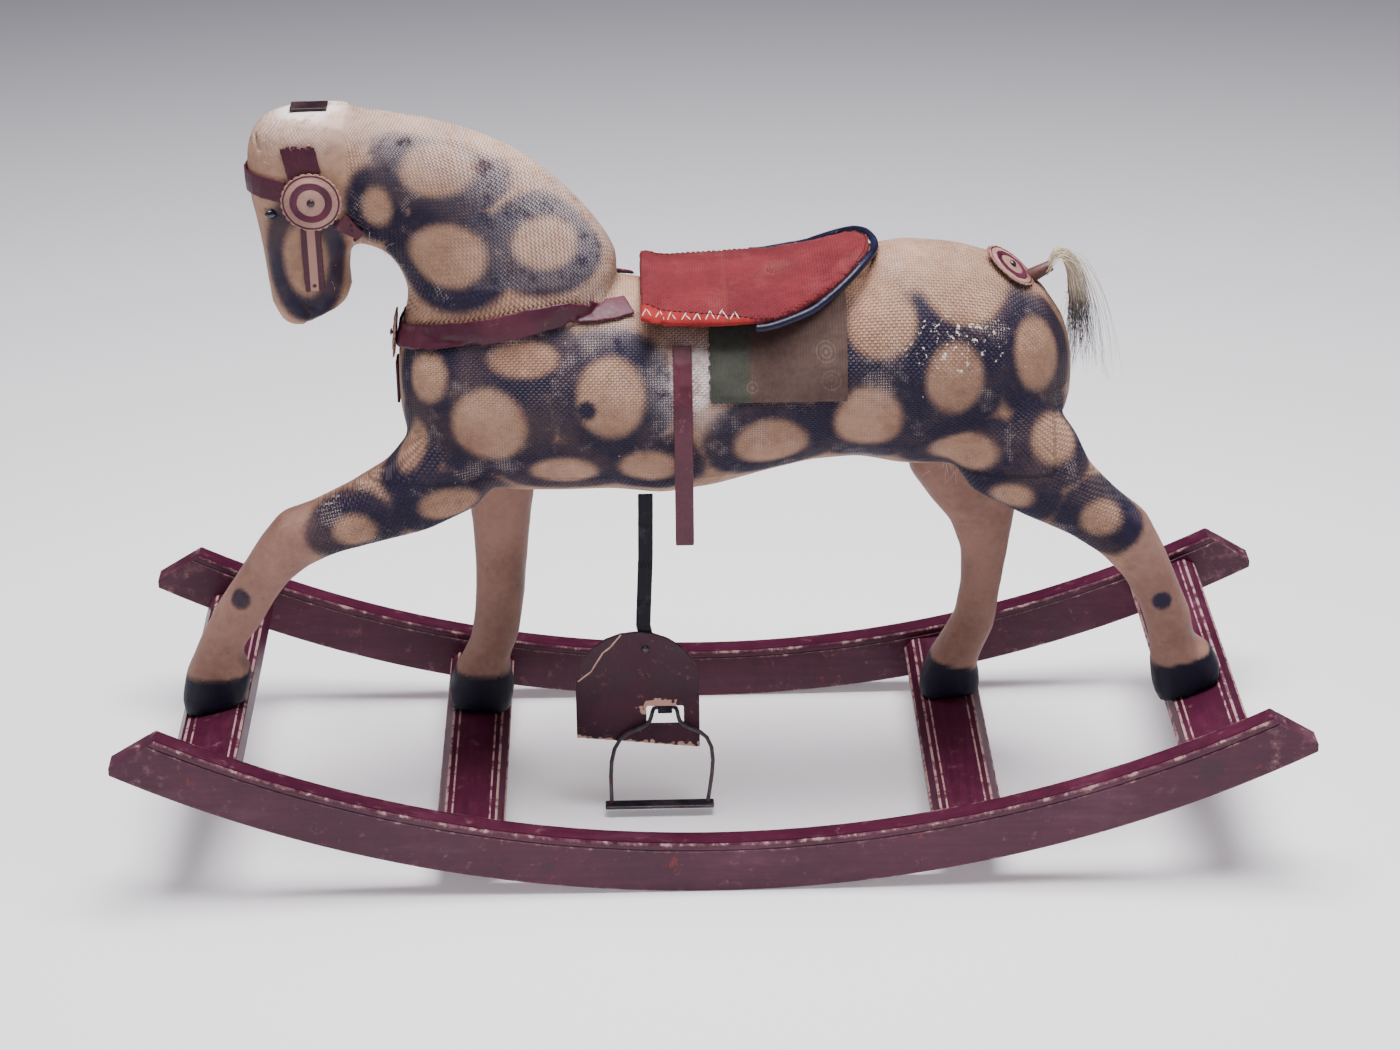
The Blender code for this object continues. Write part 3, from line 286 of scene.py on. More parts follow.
def mottle_group():
    """Soft uneven tone, from a broad and a fine cloud."""
    tree, given, made = new_group("soft_mottle", {"Vector": None, "Scale": 12.0}, ("Tone",))
    broad = speckle(tree, given["Vector"], given["Scale"])
    fine = speckle(tree, given["Vector"], times(tree, given["Scale"], 9.0), 4.0, 0.65)
    tone = calc(tree, "ADD", times(tree, broad, 0.65), times(tree, fine, 0.35))
    tree.links.new(ease(tree, tone, 0.32, 0.68), made["Tone"])
    return tree


def grain_group():
    """Long fibres along X of the given coordinates."""
    tree, given, made = new_group("wood_grain", {"Vector": None, "Fineness": 90.0}, ("Fibre",))
    long_way = stretched(tree, given["Vector"], (0.05, 1.0, 1.0))
    fibre = speckle(tree, long_way, given["Fineness"], 5.0, 0.6)
    tree.links.new(ease(tree, fibre, 0.3, 0.7), made["Fibre"])
    return tree


def wear_group():
    """Where paint has gone: along marked edges, and in a few chips elsewhere."""
    tree, given, made = new_group("worn_paint", {"Vector": None, "Edge": 0.0, "Loss": 0.5, "Scale": 60.0},
                                  ("Bare", "Rub"))
    broken = speckle(tree, given["Vector"], given["Scale"], 4.0, 0.7)
    level = calc(tree, "ADD", broken, times(tree, given["Edge"], given["Loss"]))
    tree.links.new(ease(tree, level, 0.74, 0.80), made["Bare"])
    tree.links.new(ease(tree, level, 0.58, 0.78), made["Rub"])
    return tree


PLAIN_WEAVE, SOFT_MOTTLE, WOOD_GRAIN, WORN_PAINT = weave_group(), mottle_group(), grain_group(), wear_group()
print("groups:", [group.name for group in bpy.data.node_groups])

# %% [markdown]
# ## The carved body
# On the real horse the barrel, neck, head and legs are separate blocks of wood, glued up
# and then covered, so the joints hardly show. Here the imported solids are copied, merged
# and remeshed together, which fuses the hair-thin gaps in the joints. A low-pass smoothing
# then takes out the facets but keeps the shape: it is smoothing plus a second, smoothed
# correction, because plain smoothing alone would make the legs thinner.

# %% Helpers for new pieces
def linked(name, mesh, body, *materials):
    made = bpy.data.objects.new(name, mesh)
    bpy.context.scene.collection.objects.link(made)
    for material in materials:
        mesh.materials.append(material)
    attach(made, body)
    return made


def mesh_of(bm, name, sharp=40):
    mesh = bpy.data.meshes.new(name)
    bm.to_mesh(mesh)
    bm.free()
    mesh.shade_smooth()
    mesh.set_sharp_from_angle(angle=math.radians(sharp))
    return mesh


def welded(*names):
    """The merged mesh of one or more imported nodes."""
    bm = bmesh.new()
    for name in names:
        bm.from_mesh(solids[name].data)
    bmesh.ops.remove_doubles(bm, verts=bm.verts, dist=0.000005)
    return bm


def with_modifiers_applied(thing):
    """Swap an object's mesh for what its modifiers make of it."""
    bpy.context.view_layer.update()
    graph = bpy.context.evaluated_depsgraph_get()
    finished = bpy.data.meshes.new_from_object(thing.evaluated_get(graph))
    thing.modifiers.clear()
    thing.data = finished
    return thing


def remeshed(thing, voxel):
    way = thing.modifiers.new("remesh", "REMESH")
    way.mode, way.voxel_size, way.use_smooth_shade = "VOXEL", voxel, True
    return with_modifiers_applied(thing)


def skin_tree(piece):
    """A search tree over a piece's faces, to find its skin by casting or by nearness."""
    return BVHTree.FromPolygons([vert.co for vert in piece.data.vertices],
                                [face.vertices for face in piece.data.polygons])


def dress(piece, finish):
    """Give a piece one finish and no other."""
    piece.data.materials.clear()
    piece.data.materials.append(finish)


def corners_of(mesh):
    places = np.empty(len(mesh.vertices) * 3)
    mesh.vertices.foreach_get("co", places)
    return places.reshape(-1, 3)


def blurred(values, edges, passes):
    """Each pass moves every value half way to the mean of its neighbours."""
    counts = np.bincount(edges.ravel(), minlength=len(values)).astype(float)[:, None]
    for _ in range(passes):
        sums = np.zeros_like(values)
        np.add.at(sums, edges[:, 0], values[edges[:, 1]])
        np.add.at(sums, edges[:, 1], values[edges[:, 0]])
        values = 0.5 * values + 0.5 * sums / np.maximum(counts, 1)
    return values


def soften(mesh, passes, share=None):
    """Smooth the facets out and put the lost volume back."""
    places = corners_of(mesh)
    edges = np.array([edge.vertices[:] for edge in mesh.edges])
    once = blurred(places, edges, passes)
    result = once + blurred(places - once, edges, passes)
    if share is not None:
        result = places + (result - places) * share[:, None]
    mesh.vertices.foreach_set("co", result.ravel())
    mesh.update()


def paint(mesh, name, values):
    """Store one number for each corner of the mesh, for the finish to read."""
    layer = mesh.attributes.new(name, "FLOAT", "POINT")
    layer.data.foreach_set("value", np.asarray(values, dtype=np.float32))


def smooth_step(values, low, high):
    share = np.clip((values - low) / (high - low), 0, 1)
    return share * share * (3 - 2 * share)


# %% Fuse the blocks
VOXEL = 0.0036
BLOCKS = ("torso", "neck", "head", "near_front_leg", "far_front_leg", "near_hind_leg", "far_hind_leg")
DOWELS = ("neck_dowel", "head_dowel", "near_front_leg_dowel", "far_front_leg_dowel",
          "near_hind_leg_dowel", "far_hind_leg_dowel")
horse = linked("horse_body", mesh_of(welded(*BLOCKS, *DOWELS), "horse_body"), "horse")
remeshed(horse, VOXEL)


def keep_largest(mesh):
    """Drop the skins of the holes that are closed inside the wood."""
    bm = bmesh.new()
    bm.from_mesh(mesh)
    left, groups = set(bm.verts), []
    while left:
        front = [left.pop()]
        group = set(front)
        while front:
            for edge in front.pop().link_edges:
                for vert in edge.verts:
                    if vert in left:
                        left.remove(vert)
                        group.add(vert)
                        front.append(vert)
        groups.append(group)
    groups.sort(key=len)
    bmesh.ops.delete(bm, geom=[vert for group in groups[:-1] for vert in group], context="VERTS")
    head_faces = [face for face in bm.faces if face.calc_center_median().x < -0.275
                  and face.calc_center_median().z > 0.44]
    head_edges = list({edge for face in head_faces for edge in face.edges})
    bmesh.ops.subdivide_edges(bm, edges=head_edges, cuts=1, use_grid_fill=True)
    bmesh.ops.triangulate(bm, faces=[face for face in bm.faces if len(face.verts) > 4])
    bm.to_mesh(mesh)
    bm.free()
    return len(groups)


groups_found = keep_largest(horse.data)
spots = corners_of(horse.data)
# hooves and the sawn nose keep their edges
hoof_height = np.full(len(spots), 1.0)
HOOVES = [  # x and z at the front and back of each hoof's upper edge, and its side of the middle
    (-0.448, 0.153, -0.392, 0.154, -1), (-0.226, 0.089, -0.1765, 0.088, 1),
    (0.376, 0.149, 0.428, 0.161, -1), (0.199, 0.095, 0.240, 0.087, 1)]
for front_x, front_z, back_x, back_z, side in HOOVES:
    here = (np.abs(spots[:, 0] - (front_x + back_x) / 2) < 0.055) & (spots[:, 1] * side > 0.0)
    edge_z = front_z + (back_z - front_z) * (spots[:, 0] - front_x) / (back_x - front_x)
    hoof_height = np.where(here, np.minimum(hoof_height, spots[:, 2] - edge_z), hoof_height)
softness = np.clip(0.35 + 0.65 * smooth_step(hoof_height, -0.004, 0.006), 0, 1)
sawn_nose = (1 - smooth_step(spots[:, 0], -0.300, -0.285)) * (1 - smooth_step(spots[:, 2], 0.478, 0.500))
sawn_nose *= smooth_step(spots[:, 2], 0.425, 0.440)
softness *= 1 - 0.72 * sawn_nose
soften(horse.data, 22, softness)
print("body:", groups_found, "skins found,", len(horse.data.vertices), "corners kept")

# %% [markdown]
# ## Carving and dapples
# The head has shallow carving: a split mouth, a nostril and a sunk eye. Those corners are
# pushed in along the skin's own direction. The dapples are tan rounds left bare by a navy
# spray, so the navy is worked out from how far each corner lies from the nearest round: a
# soft ring that fades again further out. Stored on the mesh, the pattern follows every
# curve, and a spray's soft edge needs no finer detail than the mesh has.

# %% Carve the head
def distance_to_line(points, start, end):
    start, end = np.array(start), np.array(end)
    along = end - start
    share = np.clip(((points - start) @ along) / (along @ along), 0, 1)
    return np.linalg.norm(points - start - share[:, None] * along, axis=1)


def carve(mesh, cuts):
    """Push the skin in along its normal beside each cut of (start, end, width, depth)."""
    places = corners_of(mesh)
    normals = np.empty(len(mesh.vertices) * 3)
    mesh.vertices.foreach_get("normal", normals)
    push = np.zeros(len(places))
    for start, end, width, depth in cuts:
        flat = places.copy()
        flat[:, 1] = np.abs(flat[:, 1])
        push = np.maximum(push, depth * np.exp(-(distance_to_line(flat, start, end) / width) ** 2))
    mesh.vertices.foreach_set("co", (places - normals.reshape(-1, 3) * push[:, None]).ravel())
    mesh.update()
    return push


CUTS = [((-0.3300, 0.029, 0.4800), (-0.3235, 0.026, 0.4560), 0.0020, 0.0042),
        ((-0.3290, 0.031, 0.4790), (-0.3190, 0.031, 0.4740), 0.0022, 0.0030),
        ((-0.3265, 0.000, 0.4540), (-0.3265, 0.034, 0.4560), 0.0024, 0.0075),
        ((-0.3430, 0.027, 0.4720), (-0.3400, 0.028, 0.4700), 0.0026, 0.0022),
        ((-0.3560, 0.026, 0.5610), (-0.3440, 0.032, 0.5580), 0.0034, 0.0016),
        ((-0.3640, 0.010, 0.6260), (-0.3560, 0.022, 0.6080), 0.0016, 0.0022),
        ((-0.3030, 0.030, 0.4960), (-0.2970, 0.026, 0.5120), 0.0030, 0.0014),
        ((-0.2880, 0.035, 0.5350), (-0.2880, 0.036, 0.6000), 0.0014, 0.0006)]
depth_cut = carve(horse.data, CUTS)
print("deepest carving", round(float(depth_cut.max()) * 1000, 1), "mm")

# %% Spray the dapples
# in millimetres: place along the horse, height, half width, half height, and how far the
# navy reaches past the round; places are to the nearest five
ROUNDS = [
    (-215, 595, 33, 24, 16), (-130, 535, 30, 24, 13), (-210, 525, 36, 29, 12), (-265, 565, 14, 20, 6),
    (-180, 390, 34, 35, 14), (-80, 415, 30, 37, 16), (-150, 445, 32, 17, 13), (-230, 425, 21, 23, 10),
    (-245, 365, 15, 25, 10), (-120, 345, 30, 19, 12), (-215, 315, 29, 18, 11), (-295, 295, 21, 17, 12),
    (-50, 350, 27, 21, 10), (50, 370, 33, 27, 13), (130, 390, 30, 34, 13), (140, 470, 31, 32, 13),
    (210, 490, 36, 34, 13), (200, 425, 26, 33, 13), (270, 435, 25, 34, 13), (210, 355, 32, 20, 12),
    (285, 365, 24, 24, 12), (250, 315, 21, 15, 12), (325, 295, 20, 18, 12), (-325, 520, 20, 36, 10)]
# place along the horse, height and radius
DARK_SPOTS = [(-395, 230, 10), (380, 215, 9), (-100, 405, 8)]
body_tree = skin_tree(horse)


def on_near_skin(x, z):
    """The point of the near side's skin at this place along the horse and this height."""
    return body_tree.ray_cast(Vector((x, -0.5, z)), Vector((0, 1, 0)))[0]


def navy_spray(points, side):
    """The spray on one side: how deep the navy is at each point."""
    nearest = np.full(len(points), 1.0)
    reach = np.full(len(points), 0.01)
    for index, row in enumerate(ROUNDS):
        x, z, half_width, half_height, ring = [value / 1000 for value in row]
        centre = on_near_skin(x, z)
        centre.x += 0 if side < 0 else 0.008 * math.sin(index * 2.4)
        centre.y *= -side
        _, out, _, _ = body_tree.find_nearest(centre)
        level_way = Vector((0, 0, 1)).cross(out).normalized()
        rising = np.array(out.cross(level_way))
        offset = points - np.array(centre)
        middle = (half_width + half_height) / 2
        round_off = np.sqrt((offset @ np.array(level_way) / half_width) ** 2
                            + (offset @ rising / half_height) ** 2
                            + (offset @ np.array(out) / middle) ** 2)
        away = (round_off - 1) * middle
        closer = away < nearest
        nearest = np.where(closer, away, nearest)
        reach = np.where(closer, ring, reach)
    spray = smooth_step(nearest, -0.0120, 0.0055) * (1 - smooth_step(nearest, reach, reach + 0.019))
    for row in DARK_SPOTS:
        x, z, radius = [value / 1000 for value in row]
        centre = on_near_skin(x, z)
        centre.y *= -side
        gap = np.linalg.norm(points - np.array(centre), axis=1)
        spray = np.maximum(spray, 1 - smooth_step(gap, radius * 0.6, radius * 1.5))
    return spray


points = corners_of(horse.data)
normals = np.empty(len(points) * 3)
horse.data.vertices.foreach_get("normal", normals)
normals = normals.reshape(-1, 3)
x, y, z = points.T
navy = np.where(y < 0, navy_spray(points, -1), navy_spray(points, 1))
navy *= 1 - smooth_step(normals[:, 2], 0.62, 0.90) * smooth_step(z, 0.44, 0.48)
navy *= smooth_step(np.abs(y), 0.004, 0.022) * (
    1 - 0.35 * smooth_step(normals[:, 2], 0.35, 0.80) * (z > 0.50))
head_part = 1 - smooth_step(x, -0.290, -0.282)
head_part *= smooth_step(z, 0.430, 0.440)
# bare painted wood: the lower near legs, and the far legs below the barrel
wood = np.zeros(len(points))
wood = np.maximum(wood, (1 - smooth_step(x, -0.335, -0.322)) * (y < 0) * (z < 0.40))
wood = np.maximum(wood, smooth_step(x, 0.340, 0.352) * (y < 0) * (z < 0.35))
wood = np.maximum(wood, (1 - smooth_step(z, 0.300, 0.312)) * (y > 0.012))
inner = (y < -0.005) & (normals[:, 1] > 0.35) & (z < 0.31)
wood = np.maximum(wood, inner)
far_leg = (y > 0.012) & (z < 0.312)
navy = np.where(far_leg | inner, navy * 0.15, navy)
hoof = 1 - smooth_step(hoof_height, -0.0012, 0.0012)
white = np.exp(-(((x + 0.014) / 0.030) ** 2 + ((z - 0.428) / 0.040) ** 2) ** 2)
poll = np.exp(-(np.linalg.norm(points - np.array((-0.318, 0, 0.632)), axis=1) / 0.042) ** 4)
paint(horse.data, "navy", navy)
paint(horse.data, "bare_wood", np.maximum(wood, head_part))
paint(horse.data, "hoof", hoof)
crest = smooth_step(normals[:, 2], 0.05, 0.65) * (x < -0.075) * (z > 0.50) * 0.60
withers = np.exp(-(np.linalg.norm(points - np.array((-0.085, -0.045, 0.478)), axis=1) / 0.030) ** 2) * 0.6
rear = smooth_step(normals[:, 2], 0.40, 0.9) * (x > 0.14) * 0.15
paint(horse.data, "worn_white", np.maximum.reduce([white * (np.abs(y) > 0.05), poll, crest, withers, rear]))
paint(horse.data, "leg", wood)
# painted shade: the deeper carved cuts of mouth, nostril and eye are marked for darkening
crack_and_cut_shade = smooth_step(depth_cut, 0.0006, 0.0022)
paint(horse.data, "crack_and_cut_shade", crack_and_cut_shade)
flaked = np.exp(-(np.linalg.norm((points - np.array((0.205, -0.075, 0.450))) / (0.055, 0.05, 0.034),
                                 axis=1)) ** 2)
paint(horse.data, "flaked", flaked)

# %% Lay the cloth's threads
barrel = np.stack([x, np.arctan2(y, z - 0.395) * 0.088, np.zeros(len(x))], axis=1)
lean = np.array((-0.77, 0, 0.64))
from_withers = points - np.array((-0.12, 0, 0.44))
on_neck = from_withers @ lean
across_neck = from_withers @ np.array((0.64, 0, 0.77))
neck_way = np.stack([on_neck, np.arctan2(y, across_neck - 0.035) * 0.045, np.zeros(len(x))], axis=1)
is_neck = (x < -0.06) & (z > 0.462 + 0.10 * np.clip(x + 0.16, -0.1, 0.1)) & (on_neck > 0.0)
leg_way = np.stack([x * 0.9 + z * 0.3, z * 0.9 - x * 0.3, np.zeros(len(x))], axis=1)
threads = np.where(is_neck[:, None], neck_way, np.where(
    ((z < 0.335) | ((x > 0.285) & (z < 0.40)))[:, None], leg_way, barrel))
layer = horse.data.attributes.new("threads", "FLOAT_VECTOR", "POINT")
layer.data.foreach_set("vector", threads.astype(np.float32).ravel())
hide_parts(*BLOCKS)
print("navy covers", round(float(navy.mean()) * 100), "% of the corners")

# %% [markdown]
# ## The dappled hide
# The hide is gessoed, painted cloth. Its finish mixes, from the bottom up: the tan ground
# with a mottle, the navy spray, the pale tops of rubbed threads, worn white patches, bare
# painted wood on the head and lower legs, and the navy-black hooves. One weave group sets
# both the thread shadows and the bump.

# %% Hide finish
hide, tree, shader, where = new_finish("dappled_hide", 0.62)
thread_way = place(tree, "Attribute", attribute_name="threads").outputs["Vector"]
weave = grouped(tree, PLAIN_WEAVE, {"Vector": thread_way, "Pitch": 0.0022, "Wander": 0.45})
tone = grouped(tree, SOFT_MOTTLE, {"Vector": where, "Scale": 16.0})["Tone"]
fine = speckle(tree, where, 420.0, 2.0)
navy_here = painted(tree, "navy")
plain = painted(tree, "bare_wood")
cloth = calc(tree, "SUBTRACT", 1.0, plain, clamp=True)
ground = mixed(tree, tone, (0.25, 0.130, 0.082), (0.46, 0.280, 0.180))
# painted shade between the cloth's threads
ground = mixed(tree, times(tree, weave["Gap_shade"], times(tree, cloth, 0.62)), ground,
               (0.20, 0.12, 0.085))
sprayed = calc(tree, "ADD", navy_here, times(tree, calc(tree, "SUBTRACT", fine, 0.5), 0.35))
sprayed = times(tree, ease(tree, sprayed, 0.05, 0.95), ease(
    tree, speckle(tree, where, 22.0, 3.0), 0.30, 0.60, 0.88, 1.0))
color = mixed(tree, sprayed, ground, (0.0085, 0.0045, 0.024))
rubbed = ease(tree, speckle(tree, where, 30.0, 4.0, 0.7), 0.52, 0.72)
thread_tops = ease(tree, weave["Height"], 0.80, 0.98)
rub = times(tree, times(tree, rubbed, thread_tops), times(tree, cloth, 0.55))
color = mixed(tree, rub, color, (0.62, 0.50, 0.44))
chips = calc(tree, "ADD", speckle(tree, where, 210.0, 3.0, 0.7),
             times(tree, painted(tree, "flaked"), 0.16))
chips = times(tree, ease(tree, chips, 0.735, 0.765), cloth)
color = mixed(tree, chips, color, (0.70, 0.60, 0.50))
whitened = times(tree, painted(tree, "worn_white"),
                ease(tree, speckle(tree, where, 70.0, 4.0, 0.7), 0.30, 0.55))
covered = calc(tree, "ADD", times(tree, thread_tops, 0.75), 0.25)
covered = calc(tree, "MAXIMUM", times(tree, covered, 0.9),
               ease(tree, painted(tree, "worn_white"), 0.75, 0.95))
color = mixed(tree, times(tree, whitened, covered), color, (0.66, 0.575, 0.56))
long_grain = grouped(tree, WOOD_GRAIN, {"Vector": stretched(tree, where, (1.0, 1.0, 0.12)),
                                        "Fineness": 260.0})["Fibre"]
leg_paint = mixed(tree, tone, (0.200, 0.098, 0.072), (0.330, 0.185, 0.140))
leg_paint = mixed(tree, times(tree, long_grain, 0.25), leg_paint, (0.20, 0.12, 0.09))
scuffs = ease(tree, speckle(tree, where, 75.0, 5.0, 0.75), 0.60, 0.70)
leg_paint = mixed(tree, times(tree, scuffs, 0.5), leg_paint, (0.10, 0.07, 0.075))
leg_share = times(tree, painted(tree, "leg"), calc(tree, "SUBTRACT", 1.0, sprayed))
color = mixed(tree, leg_share, color, leg_paint)
hoof_here = painted(tree, "hoof")
hoof_tone = mixed(tree, tone, (0.003, 0.003, 0.011), (0.009, 0.008, 0.024))
color = mixed(tree, hoof_here, color, hoof_tone)
# painted shade darkens the carved cuts by their depth
color = mixed(tree, times(tree, painted(tree, "crack_and_cut_shade"), 0.85), color, (0.022, 0.012, 0.014))
height = times(tree, weave["Height"], cloth)
height = calc(tree, "ADD", height, times(tree, speckle(tree, where, 160.0, 4.0), 0.7))
rough = ease(tree, tone, 0.0, 1.0, 0.50, 0.72)
set_finish(tree, shader, color, height, depth=0.0011, strength=0.75, rough=rough)
dress(horse, hide)
print("hide finish has", len(tree.nodes), "nodes")

# %% [markdown]
# ## Rockers and slats
# Each rocker is a flat bow cut from a board. It is one closed section swept round the
# rocking centre, with a small bead and groove run along its two upper edges, and its tips
# are sawn to a blunt point afterwards. The slats are plain boards with chamfered edges.
# Paint wears first on the sharp edges, so every corner is stored with how exposed it is.

# %% Sweep the bows
ROCK_CENTRE = Vector((0, 0, 1.070))
# half width and distance from the rocking centre, in millimetres
SECTION = [(9.6, 1070.0), (10.5, 1069.2), (10.5, 1067.6), (10.5, 1033.0), (10.5, 1031.0),
           (9.6, 1030.3), (10.1, 1029.2), (10.5, 1027.6),
           (10.2, 1025.1), (9.3, 1023.9), (8.3, 1023.8), (7.6, 1024.8), (7.2, 1023.7)]


def rocker_bow(name, middle_y):
    bm = bmesh.new()
    outline = SECTION + [(-half, radius) for half, radius in SECTION[::-1]]
    start, sweep = 0.535, 1.07
    ring = [bm.verts.new((radius / 1000 * math.sin(start), middle_y + half / 1000,
                          ROCK_CENTRE.z - radius / 1000 * math.cos(start))) for half, radius in outline]
    edges = [bm.edges.new((ring[i], ring[(i + 1) % len(ring)])) for i in range(len(ring))]
    bmesh.ops.spin(bm, geom=ring + edges, cent=ROCK_CENTRE, axis=(0, 1, 0), angle=sweep, steps=100,
                   use_duplicate=False)
    low, high = Vector((0.5, 0, 0.1310)), Vector((0.460, 0, 0.1556))
    for side in (1, -1):
        slope = Vector((high.z - low.z, 0, low.x - high.x))
        slope.x *= side
        point = Vector((low.x * side, 0, low.z))
        for at, way in ((point, slope), (Vector((0.4998 * side, 0, 0)), Vector((side, 0, 0)))):
            cut = bmesh.ops.bisect_plane(bm, geom=bm.verts[:] + bm.edges[:] + bm.faces[:], plane_co=at,
                                         plane_no=way, clear_outer=True)
            bmesh.ops.holes_fill(bm, edges=[item for item in cut["geom_cut"]
                                            if isinstance(item, bmesh.types.BMEdge) and item.is_boundary])
    bmesh.ops.holes_fill(bm, edges=[edge for edge in bm.edges if edge.is_boundary])
    bmesh.ops.recalc_face_normals(bm, faces=bm.faces)
    mesh = mesh_of(bm, name, 28)
    places = corners_of(mesh)
    radii = np.hypot(places[:, 0], places[:, 2] - ROCK_CENTRE.z) * 1000
    aside = np.abs(places[:, 1] - middle_y) * 1000
    exposed = np.maximum(np.exp(-(np.hypot(aside - 9.6, radii - 1024.6) / 1.3) ** 2),
                         0.6 * np.exp(-(np.hypot(aside - 10.5, radii - 1030.9) / 0.6) ** 2))
    exposed = np.maximum(exposed, 0.55 * (radii > 1068.5) * (aside > 9.0))
    exposed = np.maximum(exposed, 0.30 * (np.abs(places[:, 0]) > 0.4585) * (radii < 1069.0))
    paint(mesh, "exposed", exposed)
    return mesh


bows = {}
for side, middle_y in (("near", -0.167), ("far", 0.167)):
    bow = linked(side + "_bow", rocker_bow(side + "_bow", middle_y), "horse")
    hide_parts(side + "_rocker")
    bows[side] = bow
print("bow faces:", len(bows["near"].data.polygons))

# %% Copy the slats and rule lines along their edges
SLATS = {"front_slat": 14.0, "front_middle_slat": 3.5, "rear_middle_slat": -6.0, "rear_slat": -21.5}


def slat_board(node, tilt):
    """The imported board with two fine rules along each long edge, to carry the worn lines."""
    bm = welded(node)
    turn = Matrix.Rotation(math.radians(tilt), 4, "Y")
    middle = (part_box(node)[0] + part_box(node)[1]) / 2
    bmesh.ops.translate(bm, verts=bm.verts, vec=-middle)
    bmesh.ops.rotate(bm, verts=bm.verts, matrix=turn.inverted())
    half = max(vert.co.x for vert in bm.verts)
    for side in (1, -1):
        for inset in (0.0012, 0.0066, 0.0088, 0.0125, 0.0140):
            bmesh.ops.bisect_plane(bm, geom=bm.verts[:] + bm.edges[:] + bm.faces[:],
                                   plane_co=(side * (half - inset), 0, 0), plane_no=(side, 0, 0))
    bmesh.ops.rotate(bm, verts=bm.verts, matrix=turn)
    bmesh.ops.translate(bm, verts=bm.verts, vec=middle)
    mesh = mesh_of(bm, node + "_board", 25)
    back = turn.inverted().to_3x3()
    exposed = []
    for face in mesh.polygons:
        inset = half - abs((back @ (face.center - middle)).x)
        on_line = inset < 0.0012 or 0.0066 < inset < 0.0088 or 0.0125 < inset < 0.0140
        exposed.append(1.0 if on_line and face.normal.z > 0.3 else 0.0)
    layer = mesh.attributes.new("exposed", "FLOAT", "FACE")
    layer.data.foreach_set("value", exposed)
    return mesh


boards = []
for node, tilt in SLATS.items():
    board = linked(node + "_board", slat_board(node, tilt), "horse")
    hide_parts(node)
    boards.append(board)
print("boards:", [len(board.data.polygons) for board in boards])

# %% Rubbed maroon paint
def rubbed_paint(name, long_axis, spots=()):
    made, tree, shader, where = new_finish(name, 0.42)
    turn = {"X": (0, 0, 0), "Y": (0, 0, math.radians(-90))}[long_axis]
    along = place(tree, "Mapping", {"Vector": where, "Rotation": turn}).outputs["Vector"]
    fibre = grouped(tree, WOOD_GRAIN, {"Vector": along, "Fineness": 240.0})["Fibre"]
    tone = grouped(tree, SOFT_MOTTLE, {"Vector": where, "Scale": 9.0})["Tone"]
    worn = grouped(tree, WORN_PAINT, {"Vector": where, "Edge": painted(tree, "exposed"), "Loss": 0.30,
                                      "Scale": 85.0})
    color = mixed(tree, tone, (0.048, 0.0055, 0.020), (0.082, 0.012, 0.034))
    color = mixed(tree, times(tree, fibre, 0.45), color, (0.032, 0.004, 0.014))
    dusty = ease(tree, speckle(tree, stretched(tree, along, (0.35, 1, 1)), 26.0, 5.0, 0.7), 0.5, 0.75)
    color = mixed(tree, times(tree, dusty, 0.16), color, (0.22, 0.10, 0.15))
    primer = ease(tree, speckle(tree, where, 48.0, 4.0, 0.72), 0.665, 0.70)
    color = mixed(tree, times(tree, primer, 0.5), color, (0.20, 0.022, 0.010))
    color = mixed(tree, times(tree, worn["Rub"], 0.45), color, (0.26, 0.13, 0.14))
    color = mixed(tree, times(tree, worn["Bare"], 0.75), color, (0.44, 0.29, 0.26))
    for centre, radius in spots:
        gap = place(tree, "VectorMath", {0: where, 1: centre}, operation="DISTANCE").outputs["Value"]
        blot = ease(tree, gap, radius * 1.2, radius * 0.7, 0.0, 0.6)
        color = mixed(tree, blot, color, (0.030, 0.010, 0.018))
    height = calc(tree, "SUBTRACT", times(tree, fibre, 0.35), worn["Bare"])
    rough = mixed(tree, worn["Rub"], (0.36, 0.36, 0.36), (0.66, 0.66, 0.66))
    set_finish(tree, shader, color, height, depth=0.0004, strength=0.5, rough=rough)
    return made


bow_paint = rubbed_paint("bow_paint", "X", [((0.412, -0.1775, 0.108), 0.010),
                                                ((-0.142, -0.1775, 0.026), 0.006)])
board_paint = rubbed_paint("board_paint", "Y")
for bow in bows.values():
    bow.data.materials.append(bow_paint)
for board in boards:
    board.data.materials.append(board_paint)
print("paint on", len(bows) + len(boards), "pieces of wood")

# %% [markdown]
# ## Leather tack
# The straps are narrow strips of thin maroon leather, nailed on. Each keeps its packed
# shape, with its cut edges rounded a little by a fine remesh and a smoothing. Torn ends
# are bitten out with a jagged push on the corners near the end. Raw, tan leather shows on
# cut edges and tears, so that too is stored on the corners.

# %% Leather finish
def leather(name, dark, light, raw=(0.52, 0.30, 0.22), extra=None):
    made, tree, shader, where = new_finish(name, 0.38)
    tone = grouped(tree, SOFT_MOTTLE, {"Vector": where, "Scale": 24.0})["Tone"]
    pores = speckle(tree, where, 900.0, 2.0)
    color = mixed(tree, tone, dark, light)
    scuffs = ease(tree, speckle(tree, where, 110.0, 5.0, 0.75), 0.58, 0.72)
    color = mixed(tree, times(tree, scuffs, 0.30), color, (0.36, 0.16, 0.15))
    if extra:
        color = extra(tree, where, color)
    edge = ease(tree, calc(tree, "ADD", painted(tree, "raw"), times(tree, calc(
        tree, "SUBTRACT", tone, 0.5), 0.6)), 0.35, 0.75)
    color = mixed(tree, edge, color, raw)
    height = calc(tree, "ADD", times(tree, pores, 0.4), speckle(tree, where, 130.0, 4.0))
    rough = ease(tree, tone, 0.0, 1.0, 0.34, 0.55)
    set_finish(tree, shader, color, height, depth=0.0004, strength=0.45, rough=rough)
    return made


